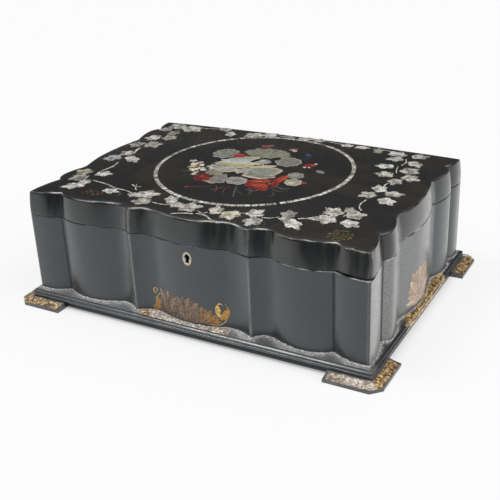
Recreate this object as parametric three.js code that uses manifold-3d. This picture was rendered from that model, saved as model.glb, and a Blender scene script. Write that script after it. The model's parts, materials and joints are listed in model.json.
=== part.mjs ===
// Lacquered sewing box: a serpentine papier-mache case on a moulded plinth, with a hinged lid,
// a box lock and a lift-out tray. Millimetres, +Z up, +X along the front, and the front faces -Y.
// The origin is on the table, under the middle of the case.

import * as THREE from 'three';
import { mergeVertices } from 'three/addons/utils/BufferGeometryUtils.js';
import Module from 'manifold-3d';

const wasm = await Module();
wasm.setup();

// Case and lid
const bodyLength = 330;
const bodyDepth = 230;
const wallThickness = 6;
const seamHeight = 86.5;
const lidSideHeight = 16.5;
const lidPanelThickness = 5.6;
const lidEdgeRadius = 3;
const lidRise = 4.5;
const lidFrontRise = 0.6;
const lidBackRise = 2.2;
const cornerRadius = 3;
const cornerFlat = 8;

// Serpentine front: places are shares of half the length, because the curves divide it up.
// The curves were drawn by hand, so the right half and the left half differ a little.
const frontMiddleShare = 0.02;
const frontBulgeRise = 0.5;
const rightValleyShare = 0.2385;
const leftValleyShare = 0.207;
const frontValleyDepth = 4.5;
const frontValleyRadius = 22;
const frontRidgeRadius = 50;
const rightSecondValleyShare = 0.4545;
const leftSecondValleyShare = 0.42;
const frontSecondValleyDepth = 5.5;
const frontSecondValleyRadius = 21;
const rightShoulderShare = 0.6545;
const leftShoulderShare = 0.6485;
const frontShoulderRise = 0.1;
const rightNotchShare = 0.8061;
const leftNotchShare = 0.797;
const frontNotchDepth = 5.5;

// Serpentine sides: places are shares of half the depth, towards the front and towards the back
const sideMiddleShare = 0.0261;
const sideBulgeRise = 0.6;
const nearValleyShare = 0.3391;
const farValleyShare = 0.4087;
const sideValleyDepth = 5;
const sideValleyRadius = 12;
const nearShoulderShare = 0.565;
const farShoulderShare = 0.6609;
const sideShoulderRise = 0.7;
const nearNotchShare = 0.68;
const farNotchShare = 0.7739;
const sideNotchDepth = 5.3;

// Plinth and feet
const plinthGround = 2.4;
const plinthTop = 11.8;
const plinthOverhang = 7;
const plinthSideOverhang = 5;
const plinthFrameWidth = 20;
const fasciaStepBack = 0.9;
const reedRadius = 1.4;
const reedStepBack = 0.5;
const skirtStepBack = 1.6;
const skirtEdgeHeight = 0.3;
const skirtSlope = 0.34;
const baseBoardThickness = 8;
const footOverhang = 17.5;
const footArm = 48;
const footEdgeHeight = 3;
const footReachUnder = 18;
const footChamfer = 9;
const footCoveShare = 0.4;

// Liners, frames and lining
const linerThickness = 3;
const frameWidth = 1.5;
const lipHeight = 7;
const rimFrameHeight = 24.5;
const wellFloorThickness = 2.5;
const lidPadThickness = 6;
const lidPadCrown = 1.6;

// Lift-out tray
const trayDrop = 1;
const trayDepth = 30;
const trayWall = 2.5;
const dividerThickness = 2;
const dividerDrop = 4.5;
const sideBayWidth = 66;
const troughWidth = 40;
const cushionBayWidth = 70;
const cushionBayDepth = 72;
const cushionCrown = 4;
const ledgeWidth = 8;
const ledgeHeight = 8;
const knobRadius = 3.4;
const knobHeight = 6;

// Lock
const lockX = 3.3;
const lockHalfWidth = 16;
const lockPlateHalfLength = 21;
const lockPlateThickness = 1.4;
const lockHeight = 19;
const lockWall = 1.2;
const stapleSpacing = 14;
const stapleThickness = 2;
const stapleWidth = 3.6;
const stapleDepth = 7.5;
const stapleBar = 1.1;
const boltTravel = 3.6;
const boltBarHeight = 3.4;
const boltFingerThickness = 1.2;
const boltBarThickness = 3.8;
const boltRiserWidth = 2.2;
const boltFingerHeight = 2;
const boltFingerSlack = 0.1;
const keyholeDrop = 10.5;
const keyholeRadius = 2.6;
const keyholeSlotWidth = 3.5;
const keyholeSlotLength = 5.4;
const escutcheonWidth = 8.8;
const escutcheonHeight = 12.4;
const escutcheonThickness = 1.6;
const escutcheonProud = 0.5;

// Hinges and screws
const hingeFromCorner = 70;
const hingeLength = 36;
const hingeLeafThickness = 1.2;
const hingeLeafMargin = 0.8;
const knuckleRadius = 2.4;
const middleKnuckleLength = 12;
const hingePinRadius = 1;
const hingeScrewSpacing = 22;
const screwHeadRadius = 1.8;
const screwShankRadius = 0.95;
const screwLength = 8;

// Clearances
const seamGap = 0.4;
const glueGap = 0.2;
const fitGap = 0.3;
const runGap = 0.5;
const lipGap = 0.8;
const pinGap = 0.12;

// How far an arc may stray from its chords
const chordError = 0.12;

const halfLength = bodyLength / 2;
const halfDepth = bodyDepth / 2;
const lidBottom = seamHeight + seamGap;
const panelBottom = lidBottom + lidSideHeight;
const panelTop = panelBottom + lidPanelThickness;
const lipTop = seamHeight + lipHeight;

// Colours and sheen of the finishes
const finish = (color, roughness, metalness) =>
  new THREE.MeshStandardMaterial({ color, roughness, metalness });
const lacquer = finish(0x201f1e, 0.25, 0);
const gesso = finish(0x4b4844, 0.7, 0);
const paper = finish(0x7a2630, 0.85, 0);
const silk = finish(0x9c3440, 0.6, 0);
const velvet = finish(0x6d1220, 0.95, 0);
const brass = finish(0xb08d4a, 0.35, 0.9);
const steel = finish(0x6e6c69, 0.45, 0.9);
const pearl = finish(0xd8d2c4, 0.3, 0.1);
const wood = finish(0x8a5a34, 0.6, 0);

// Solids: closed meshes, and cuts and joins between them

function solidOf(geometry) {
  const bare = geometry.clone();
  bare.deleteAttribute('normal');
  bare.deleteAttribute('uv');
  const merged = mergeVertices(bare, 1e-5);
  return new wasm.Manifold(new wasm.Mesh({
    numProp: 3,
    vertProperties: new Float32Array(merged.attributes.position.array),
    triVerts: new Uint32Array(merged.index.array),
  }));
}

function geometryOf(solid) {
  const mesh = solid.getMesh();
  const geometry = new THREE.BufferGeometry();
  geometry.setAttribute('position', new THREE.BufferAttribute(mesh.vertProperties, 3));
  geometry.setIndex(new THREE.BufferAttribute(mesh.triVerts, 1));
  return geometry;
}

const cut = (geometry, tools) => geometryOf(
  tools.reduce((solid, tool) => solid.subtract(solidOf(tool)), solidOf(geometry)));

const join = (geometry, others) => geometryOf(
  others.reduce((solid, other) => solid.add(solidOf(other)), solidOf(geometry)));

// From one side of the middle to the other
const about = (half, middle = 0) => [middle - half, middle + half];

function block([x0, x1], [y0, y1], [z0, z1]) {
  const box = new THREE.BoxGeometry(x1 - x0, y1 - y0, z1 - z0);
  return box.translate((x0 + x1) / 2, (y0 + y1) / 2, (z0 + z1) / 2);
}

// A round bar along X, from x0 to x1
function barAlongX(radius, [x0, x1], y, z, sides = 16) {
  const bar = new THREE.CylinderGeometry(radius, radius, x1 - x0, sides);
  return bar.rotateZ(-Math.PI / 2).translate((x0 + x1) / 2, y, z);
}

// A turned piece standing on z = 0, from [radius, height] pairs that start and end on its axis
const turned = (profile, sides) => new THREE.LatheGeometry(
  profile.map(([radius, height]) => new THREE.Vector2(radius, height)), sides).rotateX(Math.PI / 2);

// Faces between rings of equally many points. Closed lofts join the last ring to the first;
// the others are capped at both ends by a fan from the given centres.
function loft(rings, centres) {
  const points = rings.flat();
  const count = rings[0].length;
  const faces = [];
  const last = centres ? rings.length - 1 : rings.length;
  for (let ring = 0; ring < last; ring += 1) {
    const here = ring * count;
    const next = ((ring + 1) % rings.length) * count;
    for (let i = 0; i < count; i += 1) {
      const j = (i + 1) % count;
      faces.push([here + i, here + j, next + j], [here + i, next + j, next + i]);
    }
  }
  if (centres) {
    const top = (rings.length - 1) * count;
    points.push(centres[0], centres[1]);
    for (let i = 0; i < count; i += 1) {
      const j = (i + 1) % count;
      faces.push([points.length - 2, j, i], [points.length - 1, top + i, top + j]);
    }
  }
  return closedMesh(points, faces);
}

// A mesh with its faces pointing out, whichever way round they were listed
function closedMesh(points, faces) {
  const corner = faces.map((face) => face.map((index) => new THREE.Vector3(...points[index])));
  const volume = corner.reduce((sum, [a, b, c]) => sum + a.dot(b.clone().cross(c)), 0);
  const geometry = new THREE.BufferGeometry();
  geometry.setAttribute('position', new THREE.Float32BufferAttribute(points.flat(), 3));
  geometry.setIndex(volume > 0 ? faces.flat() : faces.map(([a, b, c]) => [a, c, b]).flat());
  return geometry;
}

// The serpentine outline. Each half side is a chain of arcs: humps curve out, dips curve in.

const hump = (at, top, radius) => ({ u: at, v: top - radius, radius, out: 1 });
const dip = (at, bottom, radius) => ({ u: at, v: bottom + radius, radius, out: -1 });

// Radius of a hump that drops by fall over a span and meets a dip of the given radius smoothly
const humpRadius = (span, fall, dipRadius) =>
  (span * span - 2 * dipRadius * fall + fall * fall) / (2 * fall);

// Half a front with its places counted from the middle of the bulge
function frontArcs(half, places) {
  const [valley, secondValley, shoulder, notch] = places;
  const lobe = half - cornerFlat;
  const bulgeFall = frontBulgeRise + frontValleyDepth;
  const shoulderFall = frontShoulderRise + frontSecondValleyDepth;
  const notchFall = frontShoulderRise + frontNotchDepth;
  return [
    hump(0, frontBulgeRise, humpRadius(valley, bulgeFall, frontValleyRadius)),
    dip(valley, -frontValleyDepth, frontValleyRadius),
    dip(valley, -frontValleyDepth, frontRidgeRadius),
    dip(secondValley, -frontSecondValleyDepth, frontSecondValleyRadius),
    hump(shoulder, frontShoulderRise,
      humpRadius(shoulder - secondValley, shoulderFall, frontSecondValleyRadius)),
    hump(shoulder, frontShoulderRise, humpRadius(notch - shoulder, notchFall, 0)),
    hump(lobe, 0, humpRadius(lobe - notch, frontNotchDepth, 0)),
  ];
}

function sideArcs(half, places) {
  const [valley, shoulder, notch] = places;
  const lobe = half - cornerFlat;
  const bulgeFall = sideBulgeRise + sideValleyDepth;
  const shoulderFall = sideShoulderRise + sideValleyDepth;
  const notchFall = sideShoulderRise + sideNotchDepth;
  return [
    hump(0, sideBulgeRise, humpRadius(valley, bulgeFall, sideValleyRadius)),
    dip(valley, -sideValleyDepth, sideValleyRadius),
    hump(shoulder, sideShoulderRise, humpRadius(shoulder - valley, shoulderFall, sideValleyRadius)),
    hump(shoulder, sideShoulderRise, humpRadius(notch - shoulder, notchFall, 0)),
    hump(lobe, 0, humpRadius(lobe - notch, sideNotchDepth, 0)),
  ];
}

const radiusAt = (arc, offset) => arc.radius + arc.out * offset;

// Where two neighbouring arcs meet once both are moved out by offset
function meeting(a, b, offset) {
  const across = b.u - a.u;
  const up = b.v - a.v;
  const apart = Math.hypot(across, up);
  const ra = radiusAt(a, offset);
  if (apart < 1e-6) return [a.u, a.v + ra];
  const rb = radiusAt(b, offset);
  const along = (apart * apart + ra * ra - rb * rb) / (2 * apart);
  const rise = a.out * Math.sqrt(Math.max(0, ra * ra - along * along));
  return [
    a.u + (along * across - rise * up) / apart,
    a.v + (along * up + rise * across) / apart,
  ];
}

// Points along one arc between two places on it, without the first
function alongArc(arc, offset, start, end, steps) {
  const radius = radiusAt(arc, offset);
  const angleOf = ([u, v]) => Math.atan2(u - arc.u, arc.out * (v - arc.v));
  const first = angleOf(start);
  const sweep = angleOf(end) - first;
  return Array.from({ length: steps }, (_, i) => {
    const angle = first + sweep * (i + 1) / steps;
    return [arc.u + radius * Math.sin(angle), arc.v + arc.out * radius * Math.cos(angle)];
  });
}

// The ends of every arc of a half side, from the middle of the side to its corner lobe
function arcEnds(arcs, offset, limit) {
  const first = arcs[0];
  const lobe = arcs.at(-1);
  const ends = [[first.u, first.v + radiusAt(first, offset)]];
  arcs.slice(1).forEach((arc, i) => ends.push(meeting(arcs[i], arc, offset)));
  ends.push([Math.min(lobe.u, limit), lobe.v + radiusAt(lobe, offset)]);
  return ends;
}

// How many chords each arc takes, counted on the outer face of the wall
function chordCounts(arcs) {
  const ends = arcEnds(arcs, 0, Infinity);
  return arcs.map((arc, i) => {
    const span = Math.hypot(ends[i + 1][0] - ends[i][0], ends[i + 1][1] - ends[i][1]);
    return Math.max(2, Math.ceil(span / Math.sqrt(8 * arc.radius * chordError)));
  });
}

// A side's two halves, each counted from the middle of its bulge
function wavyLine(half, middleShare, makeArcs, upShares, downShares) {
  const middle = middleShare * half;
  const halfOf = (sign, shares) => {
    const reach = half - sign * middle;
    const arcs = makeArcs(reach, shares.map((share) => share * half - sign * middle));
    return { arcs, reach, chords: chordCounts(arcs) };
  };
  return { half, middle, up: halfOf(1, upShares), down: halfOf(-1, downShares) };
}

const frontLine = wavyLine(halfLength, frontMiddleShare, frontArcs,
  [rightValleyShare, rightSecondValleyShare, rightShoulderShare, rightNotchShare],
  [leftValleyShare, leftSecondValleyShare, leftShoulderShare, leftNotchShare]);
const sideLine = wavyLine(halfDepth, sideMiddleShare, sideArcs,
  [farValleyShare, farShoulderShare, farNotchShare],
  [nearValleyShare, nearShoulderShare, nearNotchShare]);
const cornerChords = 3;
const leastCornerRadius = 0.5;

// A whole side moved out by offset, as [distance along, distance out from where it was straight]
function wavySide({ middle, up, down }, offset) {
  const radius = Math.max(cornerRadius + offset, leastCornerRadius);
  const halfOf = ({ arcs, reach, chords }) => {
    const ends = arcEnds(arcs, offset, reach + offset - radius - leastCornerRadius);
    return arcs.flatMap((arc, i) => alongArc(arc, offset, ends[i], ends[i + 1], chords[i]));
  };
  const crest = up.arcs[0].v + radiusAt(up.arcs[0], offset);
  return [
    ...halfOf(down).map(([u, v]) => [middle - u, v]).reverse(),
    [middle, crest],
    ...halfOf(up).map(([u, v]) => [middle + u, v]),
  ];
}

// A quarter turn round a corner, starting square to the side before it
function cornerArc(x, y, radius, startAngle) {
  return Array.from({ length: cornerChords + 1 }, (_, i) => {
    const angle = startAngle + (Math.PI / 2) * i / cornerChords;
    return [x + radius * Math.cos(angle), y + radius * Math.sin(angle)];
  });
}

// The sides and corners, anticlockwise from the front left; the back is straight
function assembleOutline(front, side, right, near, far, radius) {
  return [
    ...front.map(([u, v]) => [u, near - v]),
    ...cornerArc(right - radius, near + radius, radius, -Math.PI / 2),
    ...side.map(([u, v]) => [right + v, u]),
    ...cornerArc(right - radius, far - radius, radius, 0),
    ...cornerArc(-right + radius, far - radius, radius, Math.PI / 2),
    ...side.map(([u, v]) => [-right - v, u]).reverse(),
    ...cornerArc(-right + radius, near + radius, radius, Math.PI),
  ];
}

// The serpentine outline moved out by offset, or in where that is negative
function serpentine(offset) {
  const radius = Math.max(cornerRadius + offset, leastCornerRadius);
  const fromLine = (line) => wavySide(line, offset).map(([u, v]) => [u, v - offset]);
  return assembleOutline(fromLine(frontLine), fromLine(sideLine),
    halfLength + offset, -halfDepth - offset, halfDepth + offset, radius);
}

// A straight-sided outline whose points pair up with those of the serpentine one
function straight({ right, near, far }, radius = leastCornerRadius) {
  const middle = (near + far) / 2;
  const shrink = (line, half) => wavySide(line, 0).map(([u]) => [u * (half - radius) / line.half, 0]);
  const side = shrink(sideLine, (far - near) / 2);
  const front = shrink(frontLine, right);
  const points = assembleOutline(front, side, right, near, far, radius);
  const sideStart = front.length + cornerChords + 1;
  const sideCount = side.length;
  const otherSide = sideStart + sideCount + 2 * (cornerChords + 1);
  return points.map(([x, y], i) => {
    const onSide = (i >= sideStart && i < sideStart + sideCount)
      || (i >= otherSide && i < otherSide + sideCount);
    return onSide ? [x, y + middle] : [x, y];
  });
}

const at = (outline, z) => outline.map(([x, y]) => [x, y, z]);

// Where the front wall's face lies at a distance x from the middle
function frontFaceAt(x, offset) {
  const points = wavySide(frontLine, offset);
  const next = points.findIndex(([u]) => u >= x);
  const [[u0, v0], [u1, v1]] = [points[next - 1], points[next]];
  return -halfDepth - (v0 + (v1 - v0) * (x - u0) / (u1 - u0));
}

// The frames stay whole at the wall's deepest notches, and the liners stand inside them
const innerWall = serpentine(-wallThickness - glueGap);
const deepest = (line) => Math.min(...wavySide(line, -wallThickness - glueGap).map(([, v]) => v));
const lidHole = {
  right: halfLength + deepest(sideLine) - frameWidth,
  near: -halfDepth - deepest(frontLine) + frameWidth,
  far: halfDepth - wallThickness - glueGap - frameWidth,
};
const grown = ({ right, near, far }, by) => ({ right: right + by, near: near - by, far: far + by });
const linerOut = grown(lidHole, -lipGap);
const linerIn = grown(linerOut, -linerThickness);

const model = new THREE.Group();

function add(name, geometry, material, place = [0, 0, 0]) {
  const mesh = new THREE.Mesh(geometry, material);
  mesh.name = name;
  mesh.position.set(...place);
  model.add(mesh);
}

// Plinth: a frame with a plain fascia under two reeds, and the board inside it

// Half-round reed between two heights, as [distance out, height]
function reed(out, low) {
  const steps = 4;
  return Array.from({ length: steps + 1 }, (_, i) => {
    const angle = -Math.PI / 2 + Math.PI * i / steps;
    return [out + reedRadius * Math.cos(angle), low + reedRadius + reedRadius * Math.sin(angle)];
  });
}

// The plinth stands out less at the sides than at the front and back
const plinthSideStep = plinthOverhang - plinthSideOverhang;
const besideFront = (out) => (out > 0 ? out - plinthSideStep : out);

function rectangleRing(out, z) {
  const x = halfLength + besideFront(out);
  const y = halfDepth + out;
  return [[x, -y, z], [x, y, z], [-x, y, z], [-x, -y, z]];
}

const fasciaOut = plinthOverhang - fasciaStepBack;
const upperReedLow = plinthTop - 2 * reedRadius;
const lowerReedLow = upperReedLow - 2 * reedRadius;

function plinthMoulding() {
  const section = [
    [-plinthFrameWidth, plinthGround],
    [fasciaOut, plinthGround],
    [fasciaOut, lowerReedLow],
    ...reed(plinthOverhang - reedRadius, lowerReedLow),
    ...reed(plinthOverhang - reedRadius - reedStepBack, upperReedLow).slice(1),
    [-plinthFrameWidth, plinthTop],
  ];
  return loft(section.map(([out, z]) => rectangleRing(out, z)));
}

function baseBoard() {
  const x = halfLength - plinthFrameWidth - fitGap;
  const y = halfDepth - plinthFrameWidth - fitGap;
  return block([-x, x], [-y, y], [plinthTop - baseBoardThickness, plinthTop]);
}

// The skirt slopes up from the plinth's edge to the wall, so it stands highest in the valleys
function plinthSkirt() {
  const inner = serpentine(glueGap);
  const frontOut = plinthOverhang - reedRadius - skirtStepBack;
  const sideOut = besideFront(frontOut);
  const outer = straight({
    right: halfLength + sideOut,
    near: -halfDepth - frontOut,
    far: halfDepth + frontOut,
  });
  const edge = plinthTop + skirtEdgeHeight;
  const heightAt = ([x, y]) => {
    const fromSide = halfLength + sideOut - Math.abs(x);
    const fromFront = halfDepth + frontOut - Math.abs(y);
    return edge + skirtSlope * Math.min(fromSide, fromFront);
  };
  return loft([
    inner.map(([x, y]) => [x, y, heightAt([x, y])]),
    at(outer, edge),
    at(outer, plinthTop),
    at(inner, plinthTop),
  ]);
}

// A bracket foot: an L-shaped block under the plinth's corner, flared out in a shallow cove
function bracketFoot(left, back) {
  const footTop = lowerReedLow - glueGap;
  const coveHeight = footEdgeHeight + (footTop - footEdgeHeight) * footCoveShare;
  const section = [
    [-footReachUnder, 0],
    [footOverhang, 0],
    [footOverhang, footEdgeHeight],
    [(fasciaOut + footOverhang) / 2, coveHeight],
    [fasciaOut, footTop],
    [fasciaOut, plinthGround],
    [-footReachUnder, plinthGround],
  ];
  const beside = section.map(([out, z]) => [besideFront(out), z]);
  const cornerX = halfLength + besideFront(footOverhang);
  const cornerY = halfDepth + footOverhang;
  const rings = [
    section.map(([out, z]) => [cornerX - footArm, -halfDepth - out, z]),
    section.map(([out, z]) => [halfLength + besideFront(out), -halfDepth - out, z]),
    beside.map(([out, z]) => [halfLength + out, -cornerY + footArm, z]),
  ];
  const count = section.length;
  const flat = section.map(([out, z]) => new THREE.Vector2(out, z));
  const cap = THREE.ShapeUtils.triangulateShape(flat, []);
  const faces = [
    ...cap,
    ...cap.map(([a, b, c]) => [2 * count + a, 2 * count + c, 2 * count + b]),
  ];
  for (let ring = 0; ring < 2; ring += 1) {
    for (let i = 0; i < count; i += 1) {
      const j = (i + 1) % count;
      const here = ring * count;
      faces.push([here + i, here + count + j, here + j], [here + i, here + count + i, here + count + j]);
    }
  }
  const size = 4 * footChamfer;
  const waste = new THREE.BoxGeometry(size, size, 4 * footTop).rotateZ(Math.PI / 4);
  const reach = size / 2 - footChamfer * Math.SQRT1_2;
  waste.translate(cornerX + reach * Math.SQRT1_2, -cornerY - reach * Math.SQRT1_2, footTop);
  const foot = cut(closedMesh(rings.flat(), faces), [waste]);
  foot.scale(left ? -1 : 1, back ? -1 : 1, 1);
  return left === back ? foot : insideOut(foot);
}

// A mirrored mesh has its faces turned inwards, so each is listed the other way round
function insideOut(geometry) {
  const index = geometry.index.array;
  for (let i = 0; i < index.length; i += 3) {
    [index[i + 1], index[i + 2]] = [index[i + 2], index[i + 1]];
  }
  return geometry;
}

// Screws, and the countersunk holes that they need

const screwSides = 8;
const screwRim = 0.3;

function screwProfile(gap) {
  const head = screwHeadRadius + gap;
  const shank = screwShankRadius + gap;
  const neck = screwRim + head - shank;
  const tip = -screwLength - gap;
  return [[0, tip], [shank, tip], [shank, -neck], [head, -screwRim], [head, gap], [0, gap]];
}

function screwHole([x, y, z], up) {
  const tool = turned(screwProfile(fitGap), screwSides);
  if (up) tool.rotateX(Math.PI);
  return tool.translate(x, y, z);
}

function screw([x, y, z], up) {
  const slotWidth = 0.6;
  const slotDepth = 0.5;
  const slot = block(about(2 * screwHeadRadius), about(slotWidth / 2), [-slotDepth, 1]);
  const piece = cut(turned(screwProfile(0), screwSides), [slot]);
  if (up) piece.rotateX(Math.PI);
  return piece.translate(x, y, z);
}

// Hinges: two butt hinges let into the back wall, with their knuckles just behind it

const hingeAxisY = halfDepth + knuckleRadius + runGap;
const hingeAxisZ = seamHeight + seamGap / 2;
const leafInnerEdge = halfDepth - wallThickness + hingeLeafMargin;
const hingeScrewY = (leafInnerEdge + halfDepth) / 2;

const hingeScrewPlaces = (middle, z) => about(hingeScrewSpacing / 2, middle).map((x) => [x, hingeScrewY, z]);

function leafRecess(middle, [z0, z1]) {
  const half = hingeLength / 2 + fitGap;
  return block(about(half, middle), [leafInnerEdge - fitGap, halfDepth + 1], [z0, z1]);
}

// The body's leaf has the two outer knuckles and the lid's leaf the middle one
function hingeLeaf(middle, onLid) {
  const half = hingeLength / 2;
  const innerHalf = onLid ? middleKnuckleLength / 2 - fitGap : middleKnuckleLength / 2;
  const heights = onLid
    ? [lidBottom, lidBottom + hingeLeafThickness]
    : [seamHeight - hingeLeafThickness, seamHeight];
  const face = onLid ? lidBottom : seamHeight;
  const plate = block(about(half, middle), [leafInnerEdge, hingeAxisY], heights);
  const inside = about(innerHalf, middle);
  const outside = [[middle - half, inside[0]], [inside[1], middle + half]];
  const knuckles = (onLid ? [inside] : outside).map((span) =>
    barAlongX(knuckleRadius, span, hingeAxisY, hingeAxisZ));
  const behind = [halfDepth + fitGap, hingeAxisY + knuckleRadius];
  const away = (onLid ? outside : [inside]).map((span) =>
    block(span, behind, about(knuckleRadius, hingeAxisZ)));
  const bore = barAlongX(hingePinRadius + pinGap, about(half + 1, middle), hingeAxisY, hingeAxisZ);
  const trimmed = cut(plate, away);
  return cut(join(trimmed, knuckles), [
    bore,
    ...hingeScrewPlaces(middle, face).map((place) => screwHole(place, onLid)),
  ]);
}

function hingePin(middle) {
  const half = hingeLength / 2 + fitGap;
  const headLength = 0.8;
  const headRadius = hingePinRadius + 0.6;
  const head = (x) => barAlongX(headRadius, [middle + x, middle + x + headLength], hingeAxisY, hingeAxisZ);
  const shaft = barAlongX(hingePinRadius, [middle - half - headLength / 2, middle + half + headLength / 2],
    hingeAxisY, hingeAxisZ);
  return join(shaft, [head(-half - headLength), head(half)]);
}

// Lock: a box lock let into the rim frame, its bolt, and the link plate on the lid

const lockBack = linerOut.near - glueGap;
const lockFront = frontFaceAt(lockX + lockPlateHalfLength, -wallThickness - glueGap) + fitGap;
const lockY = (lockFront + lockBack) / 2;
const lockPlateBottom = seamHeight - lockPlateThickness;
const lockBottom = lockPlateBottom - lockHeight;
const stapleLow = lidBottom - stapleDepth;
const fingerLow = stapleLow + stapleBar + runGap;
const fingerHigh = fingerLow + boltFingerHeight;
const boltBarTop = stapleLow - runGap - fitGap;
const boltBarLow = boltBarTop - boltBarHeight;
const lockScrewReach = (lockHalfWidth + lockPlateHalfLength) / 2 + fitGap / 2;
const keyholeZ = seamHeight - keyholeDrop;
const staplePlaces = about(stapleSpacing / 2, lockX);
const fingerTip = stapleThickness / 2 + runGap + boltFingerSlack;
const fingerRoot = fingerTip + boltTravel - 2 * boltFingerSlack;
const keySpaceHalf = 4;

const lockScrewPlaces = (z) => about(lockScrewReach, lockX).map((x) => [x, lockY, z]);

// The keyhole's outline, cut from y0 to y1 and widened by gap
function keyholeTool(y0, y1, gap) {
  const round = new THREE.CylinderGeometry(keyholeRadius + gap, keyholeRadius + gap, y1 - y0, 16);
  round.translate(lockX, (y0 + y1) / 2, keyholeZ);
  const half = keyholeSlotWidth / 2 + gap;
  const slot = block(about(half, lockX), [y0, y1], [keyholeZ - keyholeSlotLength - gap, keyholeZ]);
  return join(round, [slot]);
}

function lockCase() {
  const thickness = [lockFront, lockBack];
  const box = block(about(lockHalfWidth, lockX), thickness, [lockBottom, seamHeight]);
  const plate = block(about(lockPlateHalfLength, lockX), thickness, [lockPlateBottom, seamHeight]);
  const inner = lockHalfWidth - lockWall;
  const deep = about(stapleWidth / 2 + runGap, lockY);
  const cavity = block(about(inner, lockX), deep, [boltBarLow - fitGap, fingerHigh + 1]);
  const keySpace = block(about(keySpaceHalf, lockX), deep, [keyholeZ - keyholeSlotLength - 1, boltBarLow]);
  const slotHalf = stapleThickness / 2 + runGap;
  const slots = staplePlaces.map((x) => block(about(slotHalf, x), deep, [fingerLow, seamHeight + 1]));
  return cut(join(box, [plate]), [
    cavity,
    keySpace,
    ...slots,
    keyholeTool(lockFront - 1, lockY, 0),
    ...lockScrewPlaces(seamHeight).map((place) => screwHole(place, false)),
  ]);
}

// The bolt's fingers point at the staples from one side and slide through them
function lockBolt() {
  const start = staplePlaces[0] - fingerRoot - boltRiserWidth;
  const end = staplePlaces[1] - fingerRoot;
  const bar = block([start, end], about(boltBarThickness / 2, lockY), [boltBarLow, boltBarTop]);
  const thin = about(boltFingerThickness / 2, lockY);
  const risers = staplePlaces.map((x) =>
    block([x - fingerRoot - boltRiserWidth, x - fingerRoot], thin, [boltBarTop - 1, fingerHigh]));
  const fingers = staplePlaces.map((x) =>
    block([x - fingerRoot - 1, x - fingerTip], thin, [fingerLow, fingerHigh]));
  return join(bar, [...risers, ...fingers]);
}

function linkPlate() {
  const plateBack = linerOut.near - lipGap;
  const plate = block(about(lockPlateHalfLength, lockX), [lockFront, plateBack],
    [lidBottom, lidBottom + lockPlateThickness]);
  const postHeights = [stapleLow, lidBottom + lockPlateThickness / 2];
  const posts = staplePlaces.map((x) =>
    block(about(stapleThickness / 2, x), about(stapleWidth / 2, lockY), postHeights));
  const holeHeights = [stapleLow + stapleBar, fingerHigh + runGap];
  const holes = staplePlaces.map((x) =>
    block(about(stapleThickness, x), about(boltFingerThickness / 2 + fitGap, lockY), holeHeights));
  return cut(join(plate, posts), [
    ...holes,
    ...lockScrewPlaces(lidBottom).map((place) => screwHole(place, true)),
  ]);
}

function ovalPrism(width, height, y0, y1) {
  const shape = new THREE.Shape();
  shape.absellipse(0, 0, width / 2, height / 2, 0, 2 * Math.PI, false, 0);
  const options = { depth: y1 - y0, bevelEnabled: false, curveSegments: 14 };
  const prism = new THREE.ExtrudeGeometry(shape, options);
  return prism.rotateX(Math.PI / 2).translate(lockX, y1, keyholeZ - keyholeSlotLength / 2 + keyholeRadius / 2);
}

const escutcheonFront = frontFaceAt(lockX, 0) - escutcheonProud;
const escutcheonBack = escutcheonFront + escutcheonThickness;

const escutcheon = () => cut(
  ovalPrism(escutcheonWidth, escutcheonHeight, escutcheonFront, escutcheonBack),
  [keyholeTool(escutcheonFront - 1, escutcheonBack + 1, 0)]);

// Case: wall, rim frame and liners

const hingePlace = halfLength - hingeFromCorner;
const hingeMiddles = about(hingePlace);

// An upright wall between two outlines
const wallBetween = (outer, inner, low, high) =>
  loft([at(outer, low), at(outer, high), at(inner, high), at(inner, low)]);

function carcassWall() {
  const shell = wallBetween(serpentine(0), serpentine(-wallThickness), plinthTop, seamHeight);
  const seat = ovalPrism(escutcheonWidth + 2 * fitGap, escutcheonHeight + 2 * fitGap,
    escutcheonFront - 1, escutcheonBack + fitGap);
  const leafBottom = seamHeight - hingeLeafThickness;
  return cut(shell, [
    seat,
    keyholeTool(escutcheonFront, frontFaceAt(lockX, -wallThickness) + 1, fitGap),
    ...hingeMiddles.map((x) => leafRecess(x, [leafBottom - fitGap / 2, seamHeight + 1])),
    ...hingeMiddles.flatMap((x) => hingeScrewPlaces(x, seamHeight)).map((place) => screwHole(place, false)),
  ]);
}

function rimFrame() {
  const inner = straight(grown(linerOut, glueGap));
  const frame = wallBetween(innerWall, inner, seamHeight - rimFrameHeight, seamHeight);
  const seatDepth = [lockFront - fitGap, linerOut.near + 1];
  const seat = block(about(lockHalfWidth + fitGap, lockX), seatDepth, [lockBottom - fitGap, seamHeight + 1]);
  const plateSeat = block(about(lockPlateHalfLength + fitGap, lockX), seatDepth,
    [lockPlateBottom - fitGap / 2, seamHeight + 1]);
  return cut(frame, [
    seat,
    plateSeat,
    keyholeTool(-halfDepth, lockFront, fitGap),
    ...lockScrewPlaces(seamHeight).map((place) => screwHole(place, false)),
  ]);
}

function addLiners() {
  const { right, near, far } = linerOut;
  const heights = [plinthTop, lipTop];
  add('liner_front', block([-right, right], [near, linerIn.near], heights), paper);
  add('liner_back', block([-right, right], [linerIn.far, far], heights), paper);
  add('liner_left', block([-right, -linerIn.right], [linerIn.near, linerIn.far], heights), paper);
  add('liner_right', block([linerIn.right, right], [linerIn.near, linerIn.far], heights), paper);
}

// Lid: rim, panel, frame and padded lining

// The panel is a shallow dome. It arches from side to side, and dies away towards the front edge
// more than towards the back one.
function domeHeight(x, y) {
  const along = Math.max(0, 1 - (x / halfLength) ** 2);
  const t = y / halfDepth;
  const across = lidRise * (1 - t * t) + lidBackRise * t * (t + 1) / 2 + lidFrontRise * t * (t - 1) / 2;
  return along * Math.max(0, across);
}

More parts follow.
